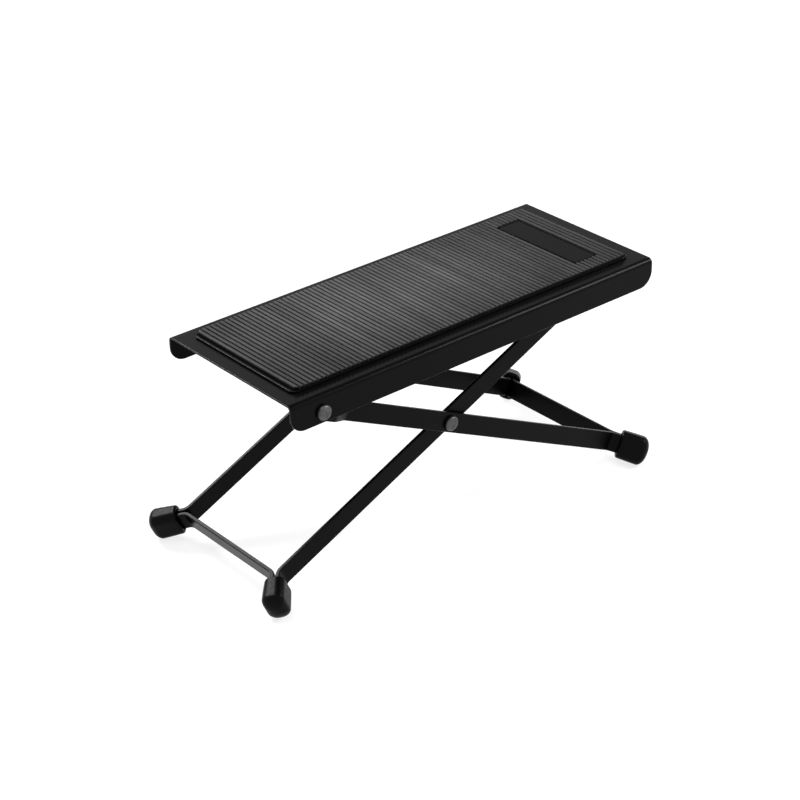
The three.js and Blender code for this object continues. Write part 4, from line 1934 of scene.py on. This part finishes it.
@dataclass(frozen=True)
class Studio:
    """The pale floor, the lamps and the camera at the photograph's angle.

    Angles are in degrees, the camera's offset and sensor in millimetres, and the floor's sizes
    in metres. The ramps say how white the floor shows itself at a distance, and how white the
    room is from the walls up to the ceiling and towards its darker corner.
    """

    azimuth: float = -40.205
    elevation: float = 27.619
    roll: float = 0.359
    focal_pixels: float = 2172.66
    offset: Triple = (-2.693, -60.776, -1298.311)
    sensor: float = 36.0
    floor_reach: float = 4.0
    floor_level: float = -0.0002
    floor_colour: Colour = (0.32, 0.32, 0.32, 1.0)
    floor_roughness: float = 0.9
    floor_white: Ramp = Ramp(0.35, 1.4, 0.8, 0.95)
    room_light: float = 0.22
    ceiling: Ramp = Ramp(0.6, 0.85, 1.0, 0.3)
    corner: Ramp = Ramp(0.69, 0.76, 1.0, 0.35)
    corner_way: Triple = (0.6, 0.0, 0.8)
    lamps: tuple[Lamp, ...] = (
        Lamp("back_softbox", (-0.15, 0.74, 0.71), (-0.05, 0, 0.05), (0.5, 0.3), 9),
        Lamp("side_softbox", (0.58, -0.42, 0.62), (0.05, 0, 0.1), (0.3, 0.3), 4.5),
        Lamp("overhead_softbox", (-0.45, -0.1, 1.6), (0, 0, 0.1), (0.8, 0.8), 7),
    )

    def camera(self) -> None:
        """Places the camera.

        Its axes are the view's right, up and backward directions, turned a little about the
        line of sight. Its place is where the fitted offset vanishes.
        """
        a, e, r = (math.radians(v) for v in (self.azimuth, self.elevation, self.roll))
        right = np.array([math.cos(a), math.sin(a), 0])
        back = np.array([math.sin(a) * math.cos(e), -math.cos(a) * math.cos(e), math.sin(e)])
        up = np.cross(back, right)
        rolled_right = math.cos(r) * right + math.sin(r) * up
        rolled_up = math.cos(r) * up - math.sin(r) * right
        axes = np.stack([rolled_right, rolled_up, back])
        data = bpy.data.cameras.new("camera")
        data.sensor_width = self.sensor
        data.lens = self.focal_pixels / PHOTO_SIDE * self.sensor
        camera = in_scene("camera", data)
        camera.matrix_world = standing(axes, -axes.T @ np.array(self.offset) * MM)
        bpy.context.scene.camera = camera

    def shown(self, nodes: Nodes) -> Socket:
        """One for the rays that see the background: camera, glossy and transmission rays.

        Args:
            nodes: The nodes of the floor's material or the world.

        Returns:
            The value.
        """
        path = nodes.add("ShaderNodeLightPath").outputs
        total = path["Is Camera Ray"]
        for name in ("Is Glossy Ray", "Is Transmission Ray"):
            total = nodes.maths(Operation.LARGER, total, path[name])
        return total

    def floor(self) -> None:
        """A wide white floor that keeps the object's shadow.

        What it shows of its own white rises a little with the distance from the object, as the
        lamps' light falls off, so that it meets the room without a line.
        """
        mesh = bpy.data.meshes.new("floor")
        signs = [(-1, -1), (1, -1), (1, 1), (-1, 1)]
        points = [(x * self.floor_reach, y * self.floor_reach, self.floor_level) for x, y in signs]
        mesh.from_pydata(points, [], [(0, 1, 2, 3)])
        floor = in_scene("floor", mesh)
        nodes = Nodes(bpy.data.materials.new("floor_paper"))
        white = nodes.ramp(nodes.distance(nodes.places["Object"]), self.floor_white)
        nodes.set(
            Base_Color=self.floor_colour,
            Roughness=self.floor_roughness,
            Specular_IOR_Level=0.0,
            Emission_Color=WHITE,
            Emission_Strength=nodes.maths(Operation.MULTIPLY, self.shown(nodes), white),
        )
        mesh.materials.append(nodes.owner)

    def world(self) -> None:
        """A dim world that the camera and reflections see as a white room.

        The room's walls are white from the floor up, and fade to a dark ceiling overhead.
        High on the right, past where the camera looks, they are darker too.
        """
        world = bpy.data.worlds.new("studio")
        bpy.context.scene.world = world
        nodes = Nodes(world, "Background")
        way = nodes.places["Generated"]
        up = nodes.add("ShaderNodeSeparateXYZ", {"Vector": way}).outputs["Z"]
        ways = {0: way, 1: self.corner_way}
        slant = nodes.add("ShaderNodeVectorMath", ways, operation="DOT_PRODUCT").outputs["Value"]
        ceiling, corner = nodes.ramp(up, self.ceiling), nodes.ramp(slant, self.corner)
        room = Ramp(0.0, 1.0, self.room_light, nodes.maths(Operation.MULTIPLY, ceiling, corner))
        nodes.set(Color=WHITE, Strength=nodes.ramp(self.shown(nodes), room))

    def build(self) -> None:
        """Sets up the camera, the floor, the world and the lamps."""
        bpy.context.scene.view_settings.view_transform = "Standard"
        self.camera()
        self.floor()
        self.world()
        for lamp in self.lamps:
            lamp.build()


def main() -> None:
    """Builds the studio and the footrest."""
    logging.basicConfig(level=logging.INFO, format="%(name)s: %(message)s")
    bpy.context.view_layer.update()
    Studio().build()
    Footrest().build(Workshop())


if __name__ == "__main__":
    main()
